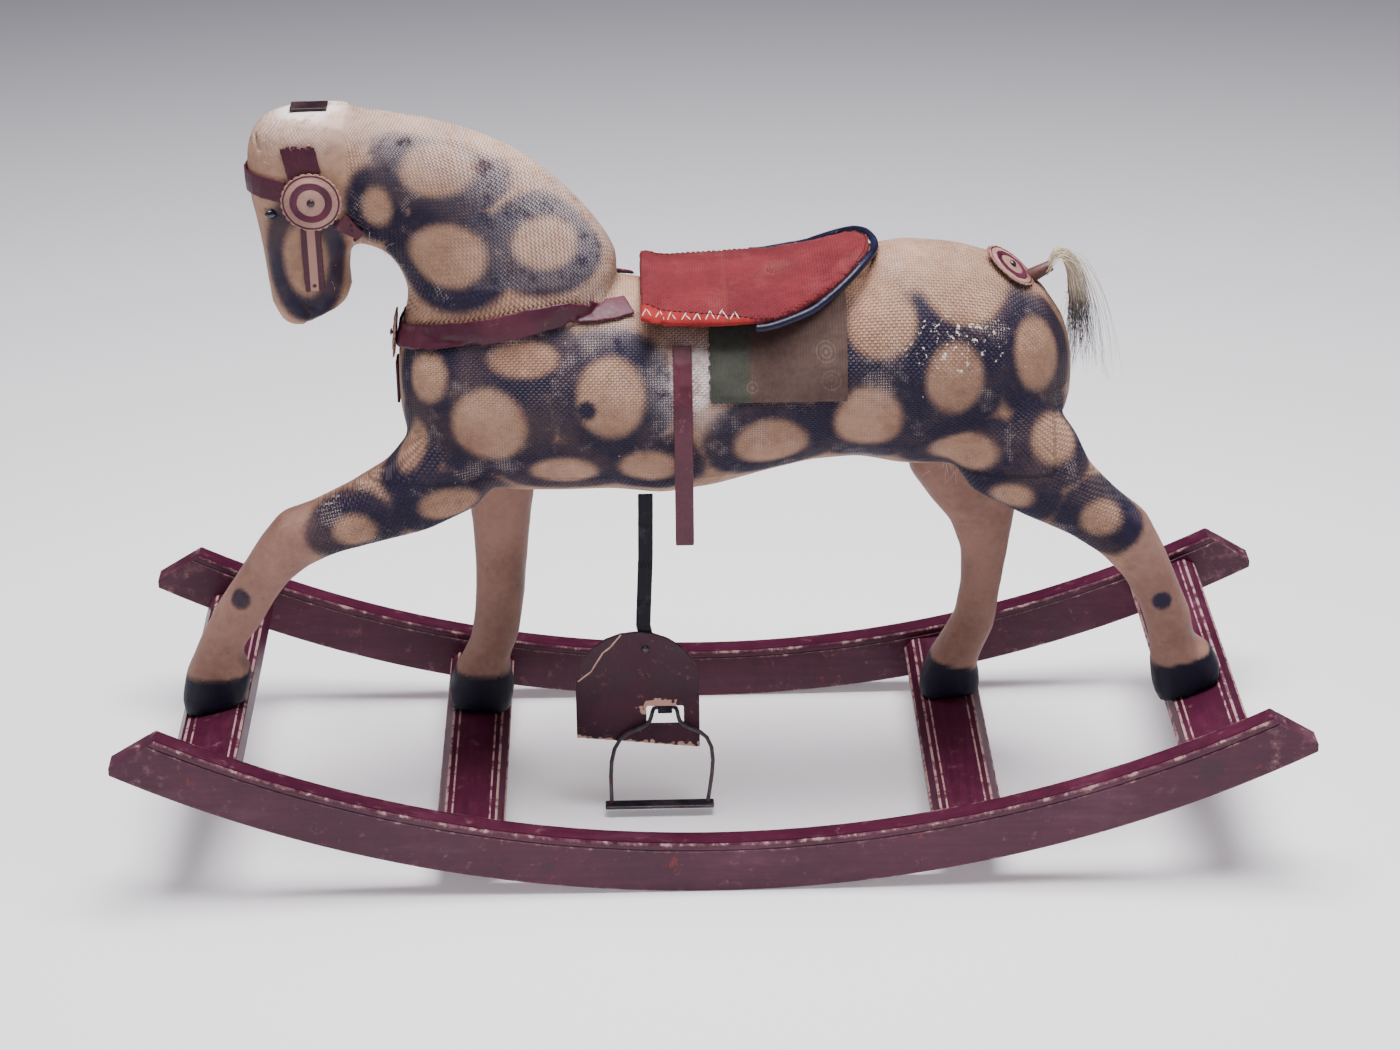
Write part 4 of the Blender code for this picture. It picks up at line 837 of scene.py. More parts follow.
def pale_line_and_nail(tree, where, color):
    """The cheek strap's pale middle stripe, with a nail near the bottom."""
    parts = place(tree, "SeparateXYZ", {0: where}).outputs
    off_middle = calc(tree, "ABSOLUTE", calc(tree, "ADD", parts["X"], 0.3190))
    color = mixed(tree, ease(tree, off_middle, 0.0036, 0.0029), color, (0.36, 0.19, 0.145))
    nail = place(tree, "CombineXYZ", {0: -0.3190, 1: 0.0, 2: 0.4975}).outputs[0]
    flat = place(tree, "VectorMath", {0: where, 1: (1, 0, 1)}, operation="MULTIPLY").outputs[0]
    gap = place(tree, "VectorMath", {0: flat, 1: nail}, operation="DISTANCE").outputs["Value"]
    return mixed(tree, ease(tree, gap, 0.0022, 0.0012), color, (0.03, 0.018, 0.018))


maroon = leather("maroon_leather", (0.042, 0.006, 0.016), (0.085, 0.014, 0.030))
striped = leather("striped_leather", (0.042, 0.006, 0.016), (0.085, 0.014, 0.030), extra=pale_line_and_nail)
flap_leather = leather("flap_leather", (0.026, 0.004, 0.012), (0.052, 0.008, 0.022))
faded = leather("faded_leather", (0.066, 0.014, 0.026), (0.115, 0.030, 0.046))
print("four leathers")

# %% Cut and smooth the strips
def leather_strip(name, node, body, finish, voxel=0.0007, passes=8, tear=None, raw=None):
    strip = linked(name, mesh_of(welded(node), name), body)
    remeshed(strip, voxel)
    mesh = strip.data
    places = corners_of(mesh)
    if tear:
        # way the torn end faces, where the tear starts, and how deep it bites
        way, start, bite = np.array(tear[0]), tear[1], tear[2]
        reach = places @ way
        ragged = np.array([noise.noise(Vector(spot) * 330) + 0.5 * noise.noise(Vector(spot) * 800)
                           for spot in places])
        limit = start - bite * (0.5 + 0.9 * ragged)
        places -= np.clip(reach - limit, 0, None)[:, None] * way
        mesh.vertices.foreach_set("co", places.ravel())
    soften(mesh, passes)
    mesh.materials.clear()
    mesh.materials.append(finish)
    mesh.shade_smooth()
    places = corners_of(mesh)
    paint(mesh, "raw", np.zeros(len(places)) if raw is None else raw(places))
    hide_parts(node)
    return strip


def near_the_tear(level):
    return lambda places: smooth_step(places[:, 2], level - 0.004, level - 0.001) * 0.9


strips = [
    leather_strip("chest_leather", "breast_strap", "horse", maroon, 0.0009),
    leather_strip("tongue_leather", "breast_tongue", "breast_tongue_body", maroon),
    leather_strip("brow_leather", "browband", "horse", maroon),
    leather_strip("poll_patch", "poll_leather", "horse", leather(
        "dark_leather", (0.010, 0.005, 0.007), (0.026, 0.010, 0.012), raw=(0.12, 0.05, 0.045))),
    leather_strip("loose_strap", "near_strap", "near_strap_body", faded, 0.0008)]
for side in ("near", "far"):
    strips += [
        leather_strip(side + "_crown_leather", side + "_crown_strap", "horse", maroon,
                      tear=((0.10, 0, 0.995), 0.5845, 0.008), raw=near_the_tear(0.6195)),
        leather_strip(side + "_cheek_leather", side + "_cheek_strap", "horse", striped),
        leather_strip(side + "_throat_leather", side + "_throat_strap", "horse", maroon,
                      raw=lambda places: smooth_step(places[:, 0], -0.2805, -0.2770) * 0.45)]
print("strips:", [len(strip.data.vertices) for strip in strips])

# %% [markdown]
# ## Rosettes, tacks and eyes
# A rosette is two stacked leather rounds: a wide tan one with a scalloped edge, and a dark
# one with a punched ring. Both are one turned profile here, with the scallops pushed in at
# the rim. A domed iron tack holds each. The eyes are painted glass ovals set in the wood.

# %% Turn the rosettes
def spun(profile, steps):
    """Turn a profile of (radius, height) points, in millimetres, about the vertical."""
    bm = bmesh.new()
    verts = [bm.verts.new((radius / 1000, 0, height / 1000)) for radius, height in profile]
    edges = [bm.edges.new(pair) for pair in zip(verts, verts[1:])]
    bmesh.ops.spin(bm, geom=verts + edges, cent=(0, 0, 0), axis=(0, 0, 1), angle=math.tau, steps=steps,
                   use_merge=True)
    bmesh.ops.remove_doubles(bm, verts=bm.verts, dist=0.00001)
    bmesh.ops.recalc_face_normals(bm, faces=bm.faces)
    return bm


def disc_place(node, outward):
    """Where a flat disc lies: its centre, and a turn from +Z to the way it faces."""
    places = corners_of(solids[node].data)
    centre = (places.min(axis=0) + places.max(axis=0)) / 2
    _, _, ways = np.linalg.svd(places - places.mean(axis=0), full_matrices=False)
    way = Vector(ways[2])
    if way.dot(Vector(outward)) < 0:
        way = -way
    return Vector(centre), way


def rosette(name, node, outward, radius, scallops, pointed=False, up=(0, 0, 1)):
    r = radius * 1000
    profile = [(0, 1.5), (r * 0.13, 1.5), (r * 0.20, 1.3), (r * 0.44, 1.35), (r * 0.45, 1.1),
               (r * 0.46, 1.35), (r * 0.67, 1.3), (r * 0.685, 0.7), (r * 0.70, 0.3),
               (r * 0.86, 0.35), (r * 0.875, 0.05), (r * 0.89, 0.4), (r * 0.95, 0.45),
               (r * 0.985, 0.2), (r * 0.99, -0.6), (r * 0.96, -1.2), (r * 0.70, -1.4), (0, -1.4)]
    bm = spun(profile, scallops * 6)
    for vert in bm.verts:
        share = math.hypot(vert.co.x, vert.co.y) / radius
        turn = math.atan2(vert.co.y, vert.co.x)
        lobe = abs(math.sin(turn * scallops / 2))
        if share > 0.88:
            pull = 1 - (0.055 - 0.055 * lobe) * (share - 0.88) / 0.11
            vert.co.x *= pull
            vert.co.y *= pull
        if pointed:
            toward = max(0.0, math.cos(turn - math.pi / 2)) ** 5
            vert.co.x *= 1 - 0.12 * toward
            vert.co.y *= (1 + 0.10 * toward) if vert.co.y > 0 else 1
        dent = noise.noise(Vector((vert.co.x, vert.co.y, 0)) * 120 + Vector((radius, 0, 0)) * 900)
        vert.co.z += 0.0004 * dent
    centre, way = disc_place(node, outward)
    side_way = Vector(up).cross(way).normalized()
    turn = Matrix((side_way, way.cross(side_way), way)).transposed().to_4x4()
    shares = [math.hypot(vert.co.x, vert.co.y) / radius for vert in bm.verts]
    bmesh.ops.transform(bm, matrix=Matrix.Translation(centre) @ turn, verts=bm.verts)
    mesh = mesh_of(bm, name, 50)
    paint(mesh, "ring", shares)
    made = linked(name, mesh, "horse", rosette_finish)
    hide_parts(node)
    return made


rosette_finish, tree, shader, where = new_finish("rosette_leather", 0.5)
tone = grouped(tree, SOFT_MOTTLE, {"Vector": where, "Scale": 40.0})["Tone"]
ring = calc(tree, "ADD", painted(tree, "ring"), times(tree, calc(
    tree, "SUBTRACT", speckle(tree, where, 200.0), 0.5), 0.035))
tan = mixed(tree, tone, (0.26, 0.135, 0.105), (0.42, 0.25, 0.195))
wine = mixed(tree, tone, (0.055, 0.009, 0.024), (0.105, 0.020, 0.042))


def band(low, high):
    return times(tree, ease(tree, ring, low - 0.012, low + 0.012),
                ease(tree, ring, high + 0.012, high - 0.012))


color = mixed(tree, calc(tree, "ADD", band(0.45, 0.685), band(0.865, 0.925), clamp=True), tan, wine)
color = mixed(tree, ease(tree, ring, 0.13, 0.07), color, (0.07, 0.03, 0.03))
color = mixed(tree, ease(tree, ring, 0.965, 0.985, 0.0, 0.65), color, (0.20, 0.06, 0.05))
set_finish(tree, shader, color, speckle(tree, where, 260.0, 4.0), depth=0.0003, strength=0.5)
rosettes = [
    rosette("near_cheek_rounds", "near_cheek_rosette", (0, -1, 0), 0.0250, 26),
    rosette("far_cheek_rounds", "far_cheek_rosette", (0, 1, 0), 0.0250, 26),
    rosette("chest_rounds", "chest_rosette", (-1, 0, 0), 0.0213, 24),
    rosette("crupper_rounds", "crupper_rosette", (0, -0.5, 0.8), 0.0236, 24, pointed=True, up=(-1, 0, 0))]
print("rosette corners:", [len(piece.data.vertices) for piece in rosettes])

# %% Blackened iron
iron, tree, shader, where = new_finish("blackened_iron", 0.45, 0.75)
tone = grouped(tree, SOFT_MOTTLE, {"Vector": where, "Scale": 60.0})["Tone"]
rust = ease(tree, speckle(tree, where, 120.0, 5.0, 0.7), 0.50, 0.66)
color = mixed(tree, tone, (0.035, 0.032, 0.040), (0.10, 0.095, 0.11))
color = mixed(tree, times(tree, rust, 0.6), color, (0.13, 0.050, 0.030))
set_finish(tree, shader, color, speckle(tree, where, 420.0, 3.0), depth=0.0002, strength=0.5,
           rough=ease(tree, rust, 0.0, 1.0, 0.36, 0.70))


def smooth_copy(name, node, body, finish, voxel, passes=6):
    """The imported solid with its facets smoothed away."""
    made = linked(name, mesh_of(welded(node), name), body)
    remeshed(made, voxel)
    soften(made.data, passes)
    dress(made, finish)
    made.data.shade_smooth()
    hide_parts(node)
    return made


TACKS = {"near_cheek_rosette_tack": "horse", "far_cheek_rosette_tack": "horse",
         "chest_rosette_tack": "horse", "crupper_rosette_tack": "horse", "flap_tack": "stirrup_leather"}
for node, body in TACKS.items():
    smooth_copy(node + "_head", node, body, iron, 0.0004, 5)
smooth_copy("bent_wire", "stirrup_wire", "stirrup", iron, 0.0005, 8)
smooth_copy("foot_bar", "stirrup_tread", "stirrup", iron, 0.0005, 2)
print("iron pieces:", len(TACKS) + 2)

# %% Set the eyes
eye_glass, tree, shader, where = new_finish("painted_eye", 0.16)
from_eye = speckle(tree, where, 240.0, 3.0)
color = mixed(tree, ease(tree, from_eye, 0.35, 0.65), (0.006, 0.007, 0.014), (0.018, 0.026, 0.060))
shader.inputs["Coat Weight"].default_value = 0.6
set_finish(tree, shader, color, from_eye, depth=0.0001, strength=0.2)
for side in (-1, 1):
    bm = bmesh.new()
    bmesh.ops.create_uvsphere(bm, u_segments=36, v_segments=20, radius=1.0)
    bmesh.ops.scale(bm, verts=bm.verts, vec=(0.0068, 0.0026, 0.0041))
    for vert in bm.verts:
        # an almond: narrow towards both corners
        vert.co.z *= 1 - 0.35 * (vert.co.x / 0.0068) ** 2
    bmesh.ops.transform(bm, verts=bm.verts, matrix=Matrix.Translation((-0.3497, side * 0.0302, 0.5588))
                        @ Matrix.Rotation(math.radians(-34 * side), 4, "Z")
                        @ Matrix.Rotation(math.radians(8), 4, "Y"))
    eye_name = "near_eye" if side < 0 else "far_eye"
    eye = linked(eye_name + "_glass", mesh_of(bm, eye_name + "_glass", 60), "horse", eye_glass)
    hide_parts(eye_name)
print("two eyes set")

# %% [markdown]
# ## The padded seat
# The seat is red woven felt, quilted over a little stuffing and bound behind with navy
# piping. Cloth under pressure bulges evenly and pulls in at its rim, so a short cloth
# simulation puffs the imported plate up. Its movement is capped, and kept off the underside,
# so that the seat still lies flat on the horse's back.

# %% Puff the seat
def puff(thing, cap):
    """Inflate a closed skin a little with the cloth solver, with no gravity."""
    before = corners_of(thing.data)
    way = thing.modifiers.new("puff", "CLOTH")
    way.settings.use_pressure = True
    way.settings.uniform_pressure_force = 4.0
    way.settings.effector_weights.gravity = 0.0
    way.point_cache.frame_start, way.point_cache.frame_end = 1, 20
    for frame_number in range(1, 21):
        bpy.context.scene.frame_set(frame_number)
    with_modifiers_applied(thing)
    moved = corners_of(thing.data) - before
    far = np.linalg.norm(moved, axis=1)
    moved *= (np.minimum(far, cap) / np.maximum(far, 1e-9))[:, None]
    moved[:, 2] = np.maximum(moved[:, 2], 0.0)
    thing.data.vertices.foreach_set("co", (before + moved).ravel())
    thing.data.update()
    return float(far.max())


seat = linked("seat_pad", mesh_of(welded("saddle"), "seat_pad"), "horse")
remeshed(seat, 0.0040)
soften(seat.data, 4)
bulge = puff(seat, 0.0026)
finer = seat.modifiers.new("finer", "SUBSURF")
finer.levels = finer.render_levels = 1
with_modifiers_applied(seat)
places = corners_of(seat.data)
dent = np.exp(-(np.hypot(places[:, 0] - 0.0579, places[:, 1]) / 0.015) ** 2)
seam = np.exp(-((places[:, 0] - 0.014) / 0.0022) ** 2)
underside = places[:, 2] < 0.474 + 0.9 * np.maximum(places[:, 0] - 0.06, 0)
places[:, 2] -= np.where(underside, 0, 0.0014 * dent + 0.0006 * seam)
seat.data.vertices.foreach_set("co", places.ravel())
seat.data.update()
seat.data.shade_smooth()
paint(seat.data, "dent", dent)
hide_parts("saddle")
print("largest free bulge", round(bulge * 1000, 1), "mm, capped at 2.6")

# %% Red woven felt
def band_edge(x):
    """How far the bright raw felt reaches in from the side, at each x."""
    return 0.0240 - 0.0185 * min(1.0, max(0.0, (x + 0.058) / 0.095))


felt, tree, shader, where = new_finish("red_felt", 0.88)
parts = place(tree, "SeparateXYZ", {0: where}).outputs
weave = grouped(tree, PLAIN_WEAVE, {"Vector": where, "Pitch": 0.0022, "Wander": 0.35})
tone = grouped(tree, SOFT_MOTTLE, {"Vector": where, "Scale": 22.0})["Tone"]
color = mixed(tree, tone, (0.100, 0.0080, 0.013), (0.170, 0.018, 0.023))
# painted shade between the felt's threads
color = mixed(tree, times(tree, weave["Gap_shade"], 0.55), color, (0.060, 0.007, 0.012))
rubbed = ease(tree, speckle(tree, where, 26.0, 4.0, 0.7), 0.50, 0.72)
color = mixed(tree, times(tree, rubbed, times(tree, weave["Height"], 0.40)), color,
              (0.24, 0.070, 0.062))
inward = calc(tree, "SUBTRACT", 0.080, calc(tree, "ABSOLUTE", parts["Y"]))
narrowing = place(tree, "MapRange", {"Value": parts["X"], "From Min": -0.058, "From Max": 0.037,
                                     "To Min": 0.0240, "To Max": 0.0055}).outputs["Result"]
in_band = times(tree, calc(tree, "LESS_THAN", inward, narrowing),
               calc(tree, "LESS_THAN", parts["X"], 0.037))
raw_felt = mixed(tree, tone, (0.17, 0.007, 0.008), (0.30, 0.018, 0.014))
color = mixed(tree, times(tree, in_band, 0.8), color, raw_felt)
from_seam = calc(tree, "ABSOLUTE", calc(tree, "SUBTRACT", parts["X"], 0.014))
seam_line = ease(tree, from_seam, 0.0022, 0.0010, 0.0, 0.5)
color = mixed(tree, seam_line, color, (0.15, 0.022, 0.022))
# painted shade in the dimple round the button
color = mixed(tree, times(tree, painted(tree, "dent"), 0.35), color, (0.13, 0.030, 0.026))
height = times(tree, weave["Height"], calc(tree, "SUBTRACT", 1.0, times(tree, in_band, 0.8)))
height = calc(tree, "ADD", height, times(tree, speckle(tree, where, 500.0, 3.0), 0.6))
set_finish(tree, shader, color, height, depth=0.0008, strength=0.65)
dress(seat, felt)
button = smooth_copy("seat_button", "saddle_button", "horse", felt, 0.0006)
# the button gets the same darkening as the dimple's painted shade, nearly in full
paint(button.data, "dent", np.full(len(button.data.vertices), 0.9))

# %% Navy piping
piped, tree, shader, where = new_finish("navy_piping", 0.38)
tone = grouped(tree, SOFT_MOTTLE, {"Vector": where, "Scale": 45.0})["Tone"]
color = mixed(tree, tone, (0.004, 0.004, 0.015), (0.011, 0.011, 0.036))
color = mixed(tree, ease(tree, speckle(tree, where, 150.0, 4.0, 0.7), 0.60, 0.72, 0.0, 0.4), color,
              (0.20, 0.19, 0.25))
set_finish(tree, shader, color, speckle(tree, where, 320.0, 3.0), depth=0.0004, strength=0.5)
smooth_copy("seat_piping", "saddle_piping", "horse", piped, 0.0010, 8)
print("seat, button and piping")

# %% Hand stitches
seat_tree = skin_tree(seat)


def on_seat(x, y, lift=0.0003):
    spot, _, _, _ = seat_tree.ray_cast(Vector((x, y, 0.60)), Vector((0, 0, -1)))
    return None if spot is None else spot + Vector((0, 0, lift))


def seat_rim(x):
    """Half the seat's width at x, found by stepping in until the seat is met."""
    return next(y / 2000 for y in range(168, 80, -1) if on_seat(x, y / 2000))


def stitch(bm, start, end, radius):
    """One thread end to end: a long thin bead with a few faces."""
    if start is None or end is None:
        return
    along = end - start
    turn = along.to_track_quat("Z", "X").to_matrix().to_4x4()
    size = Matrix.Diagonal((radius, radius, along.length * 0.55, 1))
    bmesh.ops.create_uvsphere(bm, u_segments=6, v_segments=5, radius=1.0,
                              matrix=Matrix.Translation((start + end) / 2) @ turn @ size)


def thread_finish(name, color_a, color_b):
    made, tree, shader, where = new_finish(name, 0.8)
    set_finish(tree, shader, mixed(tree, speckle(tree, where, 500.0), color_a, color_b),
               speckle(tree, where, 1500.0, 2.0), depth=0.0002, strength=0.5)
    return made


pale_thread = thread_finish("pale_thread", (0.52, 0.42, 0.36), (0.78, 0.70, 0.62))
dark_thread = thread_finish("dark_thread", (0.030, 0.006, 0.010), (0.080, 0.016, 0.020))
white_bm, dark_bm = bmesh.new(), bmesh.new()
for side in (-1, 1):
    # whip stitches over the raw side edge, in leaning pairs
    x = -0.052
    while x < 0.026:
        rim = min(seat_rim(x), seat_rim(x + 0.008))
        lean = dice.uniform(0.0025, 0.0045)
        for way in (1, -1):
            stitch(white_bm, on_seat(x - way * lean / 2, side * (rim - 0.0015)),
                   on_seat(x + way * lean / 2, side * (rim - dice.uniform(0.0060, 0.0110))), 0.00050)
            x += dice.uniform(0.0030, 0.0042)
        x += dice.uniform(0.0020, 0.0040)
    # running stitches along the inner edge of the bright band
    x = -0.055
    while x < 0.034:
        stitch(dark_bm, on_seat(x, side * (0.080 - band_edge(x))),
               on_seat(x + 0.0030, side * (0.080 - band_edge(x + 0.003))), 0.00065)
        x += 0.0044
# stitches just inside the piping
for step in range(-80, 81, 2):
    turn = math.radians(step)
    ends = []
    for ahead in (0.0, 0.020):
        ends.append(on_seat(0.030 + 0.1015 * math.cos(turn + ahead), 0.0765 * math.sin(turn + ahead)))
    stitch(dark_bm, ends[0], ends[1], 0.00050)
for name, bm, finish in (("whip_stitches", white_bm, pale_thread), ("seat_stitches", dark_bm, dark_thread)):
    sewn = linked(name, mesh_of(bm, name, 80), "horse", finish)
print("stitches sewn")

# %% [markdown]
# ## The saddle cloth and the belly strap
# The cloth is one rectangle laid over the back, under the seat. It is cast on to the packed
# cloth's outer face, row by row, then given soft ripples and a ragged front edge. The belly
# strap is woven tape, so only its finish is new.

# %% Lay the cloth
blanket_tree = skin_tree(solids["saddle_cloth"])


def lay_cloth():
    low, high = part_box("saddle_cloth")
    columns, rows = 56, 130
    bm = bmesh.new()
    bmesh.ops.create_grid(bm, x_segments=columns, y_segments=rows, size=0.5)
    line = []
    for vert in bm.verts:
        share, turn = vert.co.x + 0.5, vert.co.y * math.radians(160.5)
        x = low.x + 0.0004 + (high.x - low.x - 0.0008) * share
        out = Vector((0, math.sin(turn), math.cos(turn)))
        core = Vector((x, 0, 0.395))
        spot, _, _, _ = blanket_tree.ray_cast(core + out * 0.2, -out)
        if spot is None:
            spot = core + out * 0.088
        hem = smooth_step(np.array([abs(vert.co.y)]), 0.30, 0.5)[0]
        ripple = noise.noise(Vector((x * 30, turn * 3, 1.7))) * 0.0016 * hem
        spot += out * (0.0002 + abs(ripple))
        fray = noise.noise(Vector((turn * 22, share, 4.0))) * 0.0022 + noise.noise(
            Vector((turn * 75, 2.0, 0))) * 0.0012
        spot.x += fray * max(0.0, 1 - share * 7)
        if abs(share - 0.5) < 0.5 / columns:
            line.append((turn, spot.copy()))
        vert.co = spot
    line.sort(key=lambda item: item[0])
    length = sum((b[1] - a[1]).length for a, b in zip(line, line[1:]) if b[0] - a[0] > 1e-5)
    bmesh.ops.recalc_face_normals(bm, faces=bm.faces)
    bmesh.ops.solidify(bm, geom=bm.faces[:], thickness=0.0009)
    return mesh_of(bm, "blanket", 60), length


blanket_mesh, blanket_length = lay_cloth()
blanket = linked("blanket", blanket_mesh, "horse")
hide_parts("saddle_cloth")
print("cloth's flat size 112.5 x", round(blanket_length * 1000, 1), "mm")

# %% Green and brown weave
wool, tree, shader, where = new_finish("blanket_weave", 0.92)
parts = place(tree, "SeparateXYZ", {0: where}).outputs
weave = grouped(tree, PLAIN_WEAVE, {"Vector": stretched(tree, where, (1, 0, 1)), "Pitch": 0.0012,
                                    "Wander": 0.3})
tone = grouped(tree, SOFT_MOTTLE, {"Vector": where, "Scale": 30.0})["Tone"]
green = mixed(tree, tone, (0.040, 0.044, 0.034), (0.074, 0.078, 0.060))
brown = mixed(tree, tone, (0.072, 0.042, 0.036), (0.122, 0.076, 0.062))
border = calc(tree, "ADD", parts["X"], times(tree, calc(tree, "SUBTRACT", tone, 0.5), 0.006))
color = mixed(tree, ease(tree, border, 0.031, 0.036), green, brown)
for middle_x, middle_z, radius in ((0.095, 0.449, 0.0105), (0.099, 0.4275, 0.0100), (0.035, 0.4220, 0.0070)):
    flat = stretched(tree, where, (1, 0, 1))
    gap = place(tree, "VectorMath", {0: flat, 1: (middle_x, 0, middle_z)},
                operation="DISTANCE").outputs["Value"]
    rings = calc(tree, "SINE", times(tree, gap, math.tau / 0.0034))
    inside = times(tree, ease(tree, gap, radius + 0.0005, radius - 0.0005, 0.0, 0.30), tone)
    color = mixed(tree, times(tree, inside, calc(tree, "GREATER_THAN", rings, 0.0)), color,
                  (0.30, 0.22, 0.17))
# painted shade between the blanket's threads
color = mixed(tree, times(tree, weave["Gap_shade"], 0.5), color, (0.020, 0.016, 0.012))
set_finish(tree, shader, color, weave["Height"], depth=0.0006, strength=0.6)
blanket.data.materials.append(wool)

# %% Belly strap and foot flap
tape, tree, shader, where = new_finish("black_tape", 0.85)
weave = grouped(tree, PLAIN_WEAVE, {"Vector": where, "Pitch": 0.0013, "Wander": 0.3})
# painted shade between the tape's threads
color = mixed(tree, weave["Gap_shade"], (0.016, 0.015, 0.022), (0.005, 0.005, 0.007))
dusty = ease(tree, speckle(tree, where, 60.0, 4.0), 0.55, 0.75, 0.0, 0.35)
color = mixed(tree, dusty, color, (0.09, 0.085, 0.11))
set_finish(tree, shader, color, weave["Height"], depth=0.0008, strength=0.7)
smooth_copy("belly_webbing", "stirrup_strap", "stirrup_leather", tape, 0.0007, 5)
CRACK = [(-0.1144, 0.1325), (-0.1030, 0.1420), (-0.0985, 0.1500), (-0.0925, 0.1600), (-0.0860, 0.1655),
         (-0.0770, 0.1770)]
SLOT = (-0.0440, 0.1060)


def flap_raw(places):
    """Raw leather along the split, round the slot and on the torn foot."""
    flat = places[:, [0, 2]]
    jagged = np.array([noise.noise(Vector(spot) * 260) for spot in places])
    gap = np.full(len(places), 1.0)
    for start, end in zip(CRACK, CRACK[1:]):
        start, end = np.array(start), np.array(end)
        along = end - start
        share = np.clip(((flat - start) @ along) / (along @ along), 0, 1)
        gap = np.minimum(gap, np.linalg.norm(flat - start - share[:, None] * along, axis=1))
    crack_and_cut_shade = 1 - smooth_step(gap, 0.0003, 0.0013)
    slot_gap = np.hypot((flat[:, 0] - SLOT[0]) / 0.0175, (flat[:, 1] - SLOT[1]) / 0.0100) + 0.45 * jagged
    torn_slot = 1 - smooth_step(slot_gap, 0.78, 1.0)
    foot = 0.0765 + (flat[:, 0] + 0.117) * (0.0650 - 0.0765) / 0.1067 + 0.004 * jagged
    torn_foot = 1 - smooth_step(flat[:, 1] - foot, 0.0016, 0.0040)
    return np.maximum(np.maximum(crack_and_cut_shade, 0.9 * torn_slot), 0.8 * torn_foot)


flap = leather_strip("foot_flap", "stirrup_flap", "stirrup_leather", flap_leather, 0.0009, 5,
                     tear=((-0.107, 0, -0.994), -0.0600, 0.0030), raw=flap_raw)
print("flap corners:", len(flap.data.vertices))

# %% [markdown]
# ## Hair and loose threads
# The tail is real hair: blond at the root and grey below, springing up from a leather stub
# and falling in thin locks. Each hair is a thin tapered curve, because hundreds of them
# are lighter as curves than as meshes. The same way makes the few threads that have come
# loose from the cloth.

# %% Grow the tail
def hairs(name, body, paths, thickness, finish):
    data = bpy.data.curves.new(name, "CURVE")
    data.dimensions, data.bevel_depth, data.bevel_resolution = "3D", thickness, 0
    for path in paths:
        spline = data.splines.new("POLY")
        spline.points.add(len(path) - 1)
        for index, (point, spot) in enumerate(zip(spline.points, path)):
            point.co = (*spot, 1.0)
            point.radius = 1.0 - 0.75 * index / (len(path) - 1)
    made = bpy.data.objects.new(name, data)
    bpy.context.scene.collection.objects.link(made)
    data.materials.append(finish)
    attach(made, body)
    return made


def bent(corners, steps):
    """A smooth path through its corner points."""
    path = []
    for index in range(len(corners) - 1):
        before, start = corners[max(index - 1, 0)], corners[index]
        end, after = corners[index + 1], corners[min(index + 2, len(corners) - 1)]
        for step in range(steps):
            t = step / steps
            bend = (2 * before - 5 * start + 4 * end - after) * t * t
            path.append(0.5 * (2 * start + (end - before) * t + bend
                               + (3 * start - before - 3 * end + after) * t ** 3))
    return path + [corners[-1]]


hair_finish, tree, shader, where = new_finish("horse_hair", 0.42)
parts = place(tree, "SeparateXYZ", {0: where}).outputs
streak = speckle(tree, stretched(tree, where, (900, 900, 8)), 1.0, 2.0)
blond = mixed(tree, streak, (0.42, 0.31, 0.20), (0.74, 0.64, 0.50))
grey = mixed(tree, streak, (0.030, 0.027, 0.035), (0.150, 0.130, 0.125))
set_finish(tree, shader, mixed(tree, ease(tree, calc(tree, "ADD", parts["Z"], calc(
    tree, "MULTIPLY", streak, 0.03)), 0.462, 0.498), grey, blond))
locks = []
for strand in range(340):
    wisp = strand % 12 == 0
    aside, turn = dice.gauss(0, 0.0038), dice.gauss(0, 1)
    reach = dice.uniform(0.000, 0.014) + (dice.uniform(0.004, 0.022) if wisp else 0)
    fall = dice.uniform(0.398, 0.446) if strand % 3 else dice.uniform(0.440, 0.478)
    if wisp:
        fall = dice.uniform(0.385, 0.420)
    locks.append(bent([
        Vector((0.2815 + dice.uniform(-0.001, 0.001), aside * 0.55, 0.4865 + dice.uniform(-0.004, 0.003))),
        Vector((0.2885 + reach * 0.1, aside * 0.9, 0.4985 + 0.0035 * abs(turn) * 0.6)),
        Vector((0.2970 + reach * 0.5, aside * 1.3, 0.4930 + 0.0040 * turn * 0.6)),
        Vector((0.3010 + reach * 0.9, aside * 1.9 + 0.001 * turn, 0.4640 + dice.uniform(-0.005, 0.005))),
        Vector((0.3010 + reach * 1.2 + dice.gauss(0, 0.0022), aside * 2.3 + 0.002 * turn,
                (fall + 0.464) / 2)),
        Vector((0.2990 + reach * 1.5 + dice.gauss(0, 0.0035), aside * 2.4 + 0.003 * turn, fall))], 5))
tail = hairs("tail_hairs", "tail_body", locks, 0.00026, hair_finish)
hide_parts("tail")
stub_finish = leather("stub_leather", (0.050, 0.020, 0.020), (0.110, 0.045, 0.036))
bm = bmesh.new()
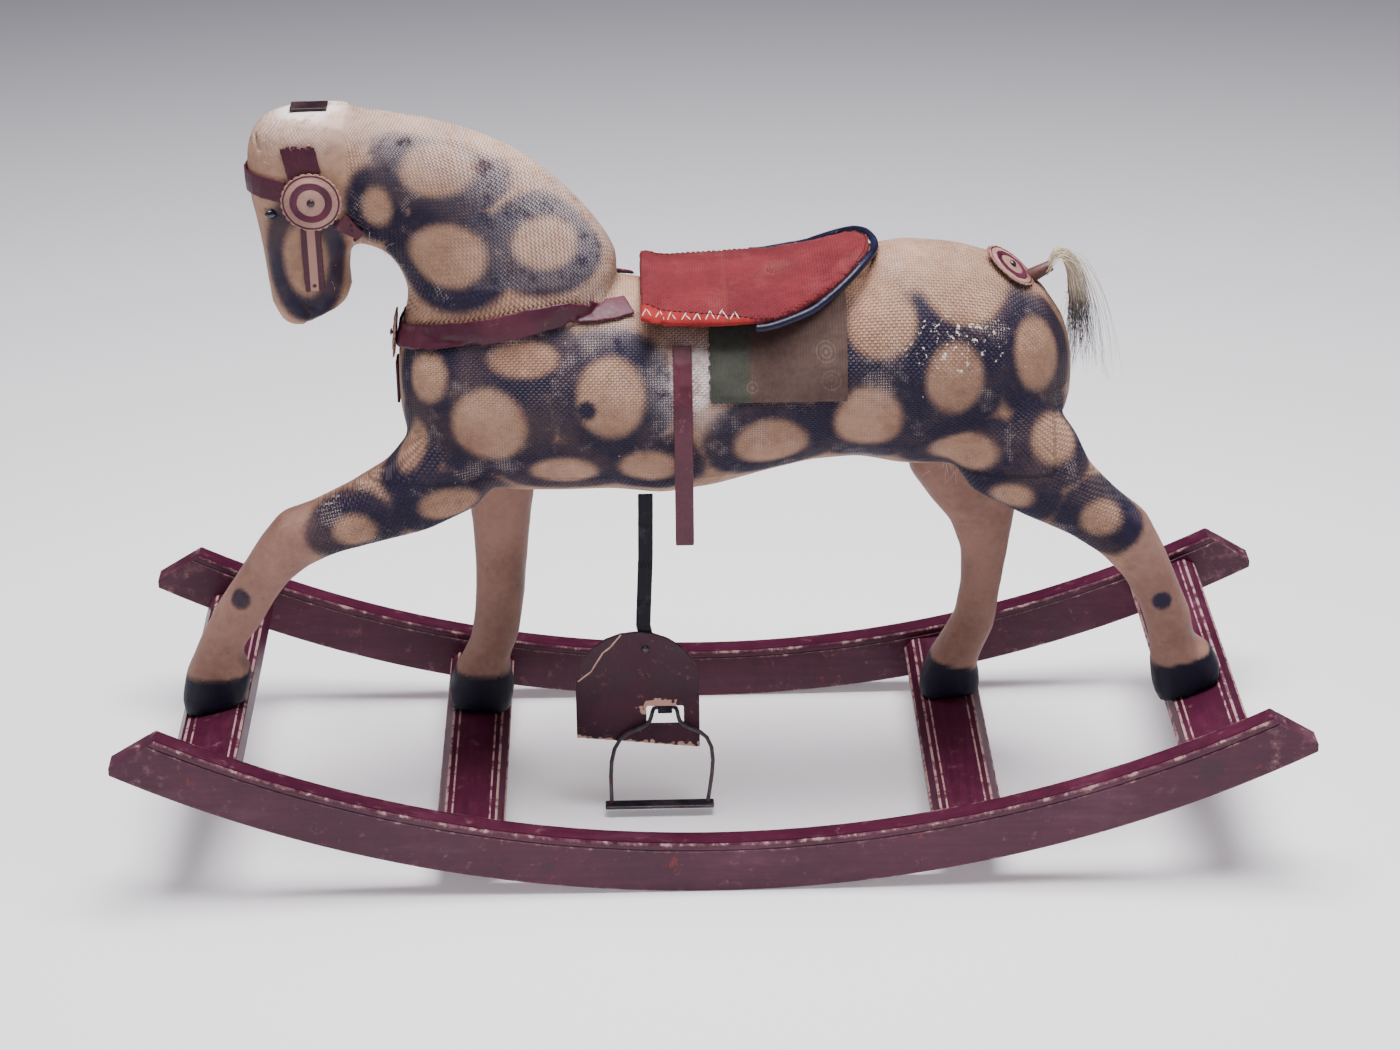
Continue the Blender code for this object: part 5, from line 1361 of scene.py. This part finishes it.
bmesh.ops.create_cone(bm, cap_ends=True, segments=24, radius1=0.0062, radius2=0.0046, depth=0.020,
                      matrix=Matrix.Translation((0.2765, 0, 0.4855))
                      @ Matrix.Rotation(math.radians(62), 4, "Y"))
bmesh.ops.bevel(bm, geom=[edge for edge in bm.edges if edge.calc_face_angle(0) > 0.8], offset=0.0010,
                offset_type="OFFSET", segments=2, profile=0.5, affect="EDGES", material=-1)
stub = linked("tail_stub", mesh_of(bm, "tail_stub"), "horse", stub_finish)
paint(stub.data, "raw", np.zeros(len(stub.data.vertices)))
print("hairs:", len(locks))

# %% Loose threads
TUFTS = [((0.214, -0.010, 0.300), 16, 0.012), ((0.205, 0.020, 0.300), 10, 0.010),
         ((-0.262, -0.016, 0.532), 12, 0.006),
         ((-0.250, -0.012, 0.508), 10, 0.006), ((-0.278, -0.024, 0.536), 8, 0.006),
         ((-0.105, -0.040, 0.482), 14, 0.004), ((-0.072, -0.030, 0.474), 10, 0.006),
         ((-0.305, -0.030, 0.500), 6, 0.004), ((-0.352, -0.020, 0.612), 8, 0.004)]
ends = []
for middle, count, length in TUFTS:
    for _ in range(count):
        near = Vector(middle) + Vector([dice.gauss(0, 0.006) for _ in range(3)])
        spot, out, _, _ = body_tree.find_nearest(near)
        lean = Vector([dice.gauss(0, 0.6) for _ in range(3)])
        reach = length * dice.uniform(0.4, 1.0)
        ends.append(bent([spot - out * 0.001, spot + out * 0.0012 + lean * reach * 0.25,
                          spot + (out * 0.6 + lean * 0.5) * reach,
                          spot + (out * 0.7 + lean * 0.9 + Vector((0, 0, -0.5))) * reach], 3))
loose = hairs("loose_threads", "horse", ends, 0.00016, pale_thread)
print("loose ends:", len(ends))

# %% [markdown]
# ## Hidden joinery
# The dowels and hoof screws stay as they were packed, inside the wood. They still get real
# finishes, in case someone takes the horse apart: bare beech with its grain, and iron.

# %% Dowels and screws
beech, tree, shader, where = new_finish("bare_beech", 0.6)
fibre = grouped(tree, WOOD_GRAIN, {"Vector": where, "Fineness": 200.0})["Fibre"]
set_finish(tree, shader, mixed(tree, fibre, (0.42, 0.27, 0.16), (0.60, 0.43, 0.28)), fibre, depth=0.0003)
for node, thing in solids.items():
    if node.endswith("dowel") or node.endswith("screw"):
        for slot in thing.material_slots:
            slot.material = beech if node.endswith("dowel") else iron
print("hidden pieces:", sum(node.endswith(("dowel", "screw")) for node in solids))
